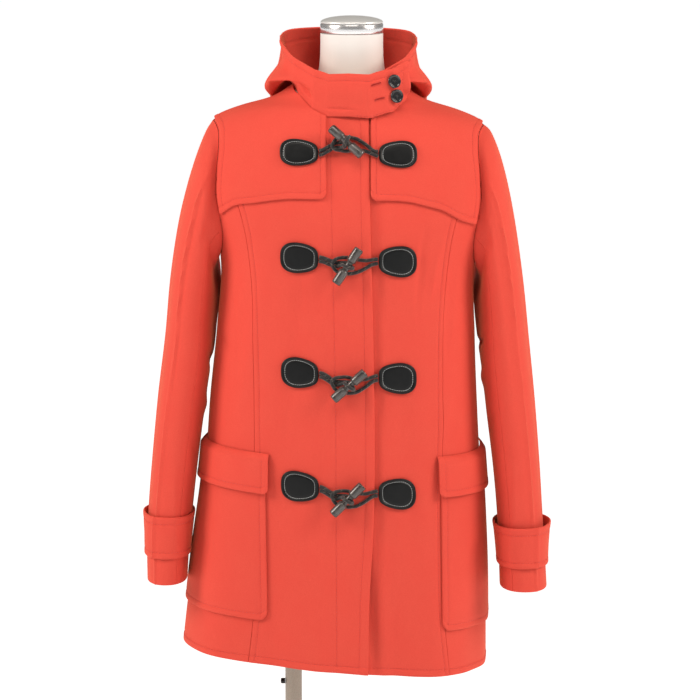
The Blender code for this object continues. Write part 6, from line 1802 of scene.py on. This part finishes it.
stand = {"poleX": -0.079, "poleRadius": 0.012, "baseRadius": 0.210, "baseThick": 0.010}
poleLow, poleHigh = (corner.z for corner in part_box("stand_pole"))
turnedPiece("standPole", ((0.004, poleLow), (stand["poleRadius"], poleLow), (stand["poleRadius"], poleHigh),
                          (0.004, poleHigh)),
            (stand["poleX"], 0, 0), (0, 0, 1), 48, paintChampagne, ["stand_pole"], smoothAngle=50)


def buildCollar():
    # a turned collar with a bore for the pole
    angle = np.arange(64) * 2 * math.pi / 64
    section = np.array(((0.0260, 0.0110), (0.0260, 0.0290), (0.0255, 0.0302), (0.0225, 0.0350),
                        (0.0200, 0.0400), (0.0192, 0.0414),
                        (0.0180, 0.0420), (0.0124, 0.0420), (0.0124, 0.0103), (0.0254, 0.0103)))
    grid = np.stack([stand["poleX"] + section[:, :1] * np.sin(angle), -section[:, :1] * np.cos(angle),
                     section[:, 1:] + 0 * angle[None]], axis=-1)
    rows, sides = grid.shape[:2]
    faces = gridFaces(rows + 1, sides, True, 0, False) % (rows * sides)
    buildPiece("standCollar", grid.reshape(-1, 3), faces.tolist(), paintChampagne,
               ["stand_collar"], 40)


buildCollar()
wide, thick = stand["baseRadius"], stand["baseThick"]
turnedPiece("standBase", ((0.010, 0.0), (wide - 0.004, 0.0), (wide - 0.001, 0.0008), (wide, 0.0030),
                          (wide, thick - 0.003),
                          (wide - 0.0008, thick - 0.0010), (wide - 0.003, thick), (wide - 0.008, thick),
                          (0.010, thick)),
            (0, 0, 0), (0, 0, 1), 128, paintChampagne, ["stand_base"], smoothAngle=50)
turnedPiece("standScrew", ((0.001, 0.0), (0.0040, 0.0), (0.0040, 0.0044), (0.0037, 0.0054),
                           (0.0031, 0.0060), (0.0014, 0.0062), (0.0013, 0.0045)),
            (stand["poleX"] - stand["poleRadius"] - 0.0003, 0, 0.489), (-1, 0, 0), 32, screwDark,
            ["stand_screw"], smoothAngle=40)
print("form and stand made")


# ---- stage, light and camera

floorMesh = bpy.data.meshes.new("studioFloor")
reach = 60.0
floorMesh.from_pydata([(-reach, -reach, 0), (reach, -reach, 0), (reach, reach, 0), (-reach, reach, 0)], [],
                      [(0, 1, 2, 3)])
floor = bpy.data.objects.new("studioFloor", floorMesh)
bpy.context.scene.collection.objects.link(floor)
# matt white paint, lit from within a little so that it stays as pale as a paper sweep
sweep, sweepTree, sweepShader = newMaterial("matt white sweep", Roughness=0.95, Emission_Strength=0.84)
spot = addNode(sweepTree, "TexCoord").outputs["Object"]
distance = addNode(sweepTree, "VectorMath", {0: spot}, operation="LENGTH").outputs["Value"]
fromStand = addNode(sweepTree, "MapRange", {"Value": distance, "From Min": 1.0, "From Max": 5.0})
# less near the stand, where the lamps reach the floor
glow = addNode(sweepTree, "Mix", {"Factor": fromStand, "A": "#CFCFCF", "B": "#FFFFFF"}, data_type="RGBA")
feed(sweepTree, sweepShader, {"Base Color": "#F4F4F4", "Emission Color": glow})
floorMesh.materials.append(sweep)

lightTable = (
    # name, place, aim, width, height, watts, colour
    ("sideLeft", (-3.0, -1.15, 2.75), (0, 0, 1.25), 1.4, 1.7, 103, "#FFF4EA"),
    ("sideRight", (3.0, -1.05, 2.75), (0, 0, 1.25), 1.4, 1.7, 100, "#FFF4EA"),
    ("topFront", (0.0, -1.6, 3.3), (0, 0, 1.3), 1.6, 0.8, 31, "#FFF4EA"),
)


def aimed(made, place, aim):
    # turned so that its own -Z points at the aim
    direction = np.array(aim, float) - np.array(place, float)
    flat = math.hypot(direction[0], direction[1])
    made.location = place
    made.rotation_euler = (math.atan2(flat, -direction[2]), 0,
                           math.atan2(direction[1], direction[0]) - quarter)


for name, place, aim, width, height, watts, colour in lightTable:
    data = bpy.data.lights.new(name, "AREA")
    data.shape = "RECTANGLE"
    data.size, data.size_y = width, height
    data.energy = watts
    data.color = linear(colour)[:3]
    lamp = bpy.data.objects.new(name, data)
    bpy.context.scene.collection.objects.link(lamp)
    aimed(lamp, place, aim)

world = bpy.data.worlds.new("studio")
bpy.context.scene.world = world
world.use_nodes = True
world.node_tree.nodes["Background"].inputs["Color"].default_value = linear("#FFFFFF")
world.node_tree.nodes["Background"].inputs["Strength"].default_value = 0.19
bpy.context.scene.view_settings.view_transform = "Standard"
bpy.context.scene.view_settings.look = "None"

cameraData = bpy.data.cameras.new("camera")
sensor, focalPixels, imagePixels = 36, 3558, 700       # millimetres, and the focal length in pixels
cameraData.lens = sensor * focalPixels / imagePixels
cameraData.sensor_width = sensor
cameraData.clip_end = 200
camera = bpy.data.objects.new("camera", cameraData)
bpy.context.scene.collection.objects.link(camera)
aimed(camera, (0.0021, -5.0, 1.70), (0.0021, 0.0, 0.97))
bpy.context.scene.camera = camera
print("stage set")

bpy.context.view_layer.update()
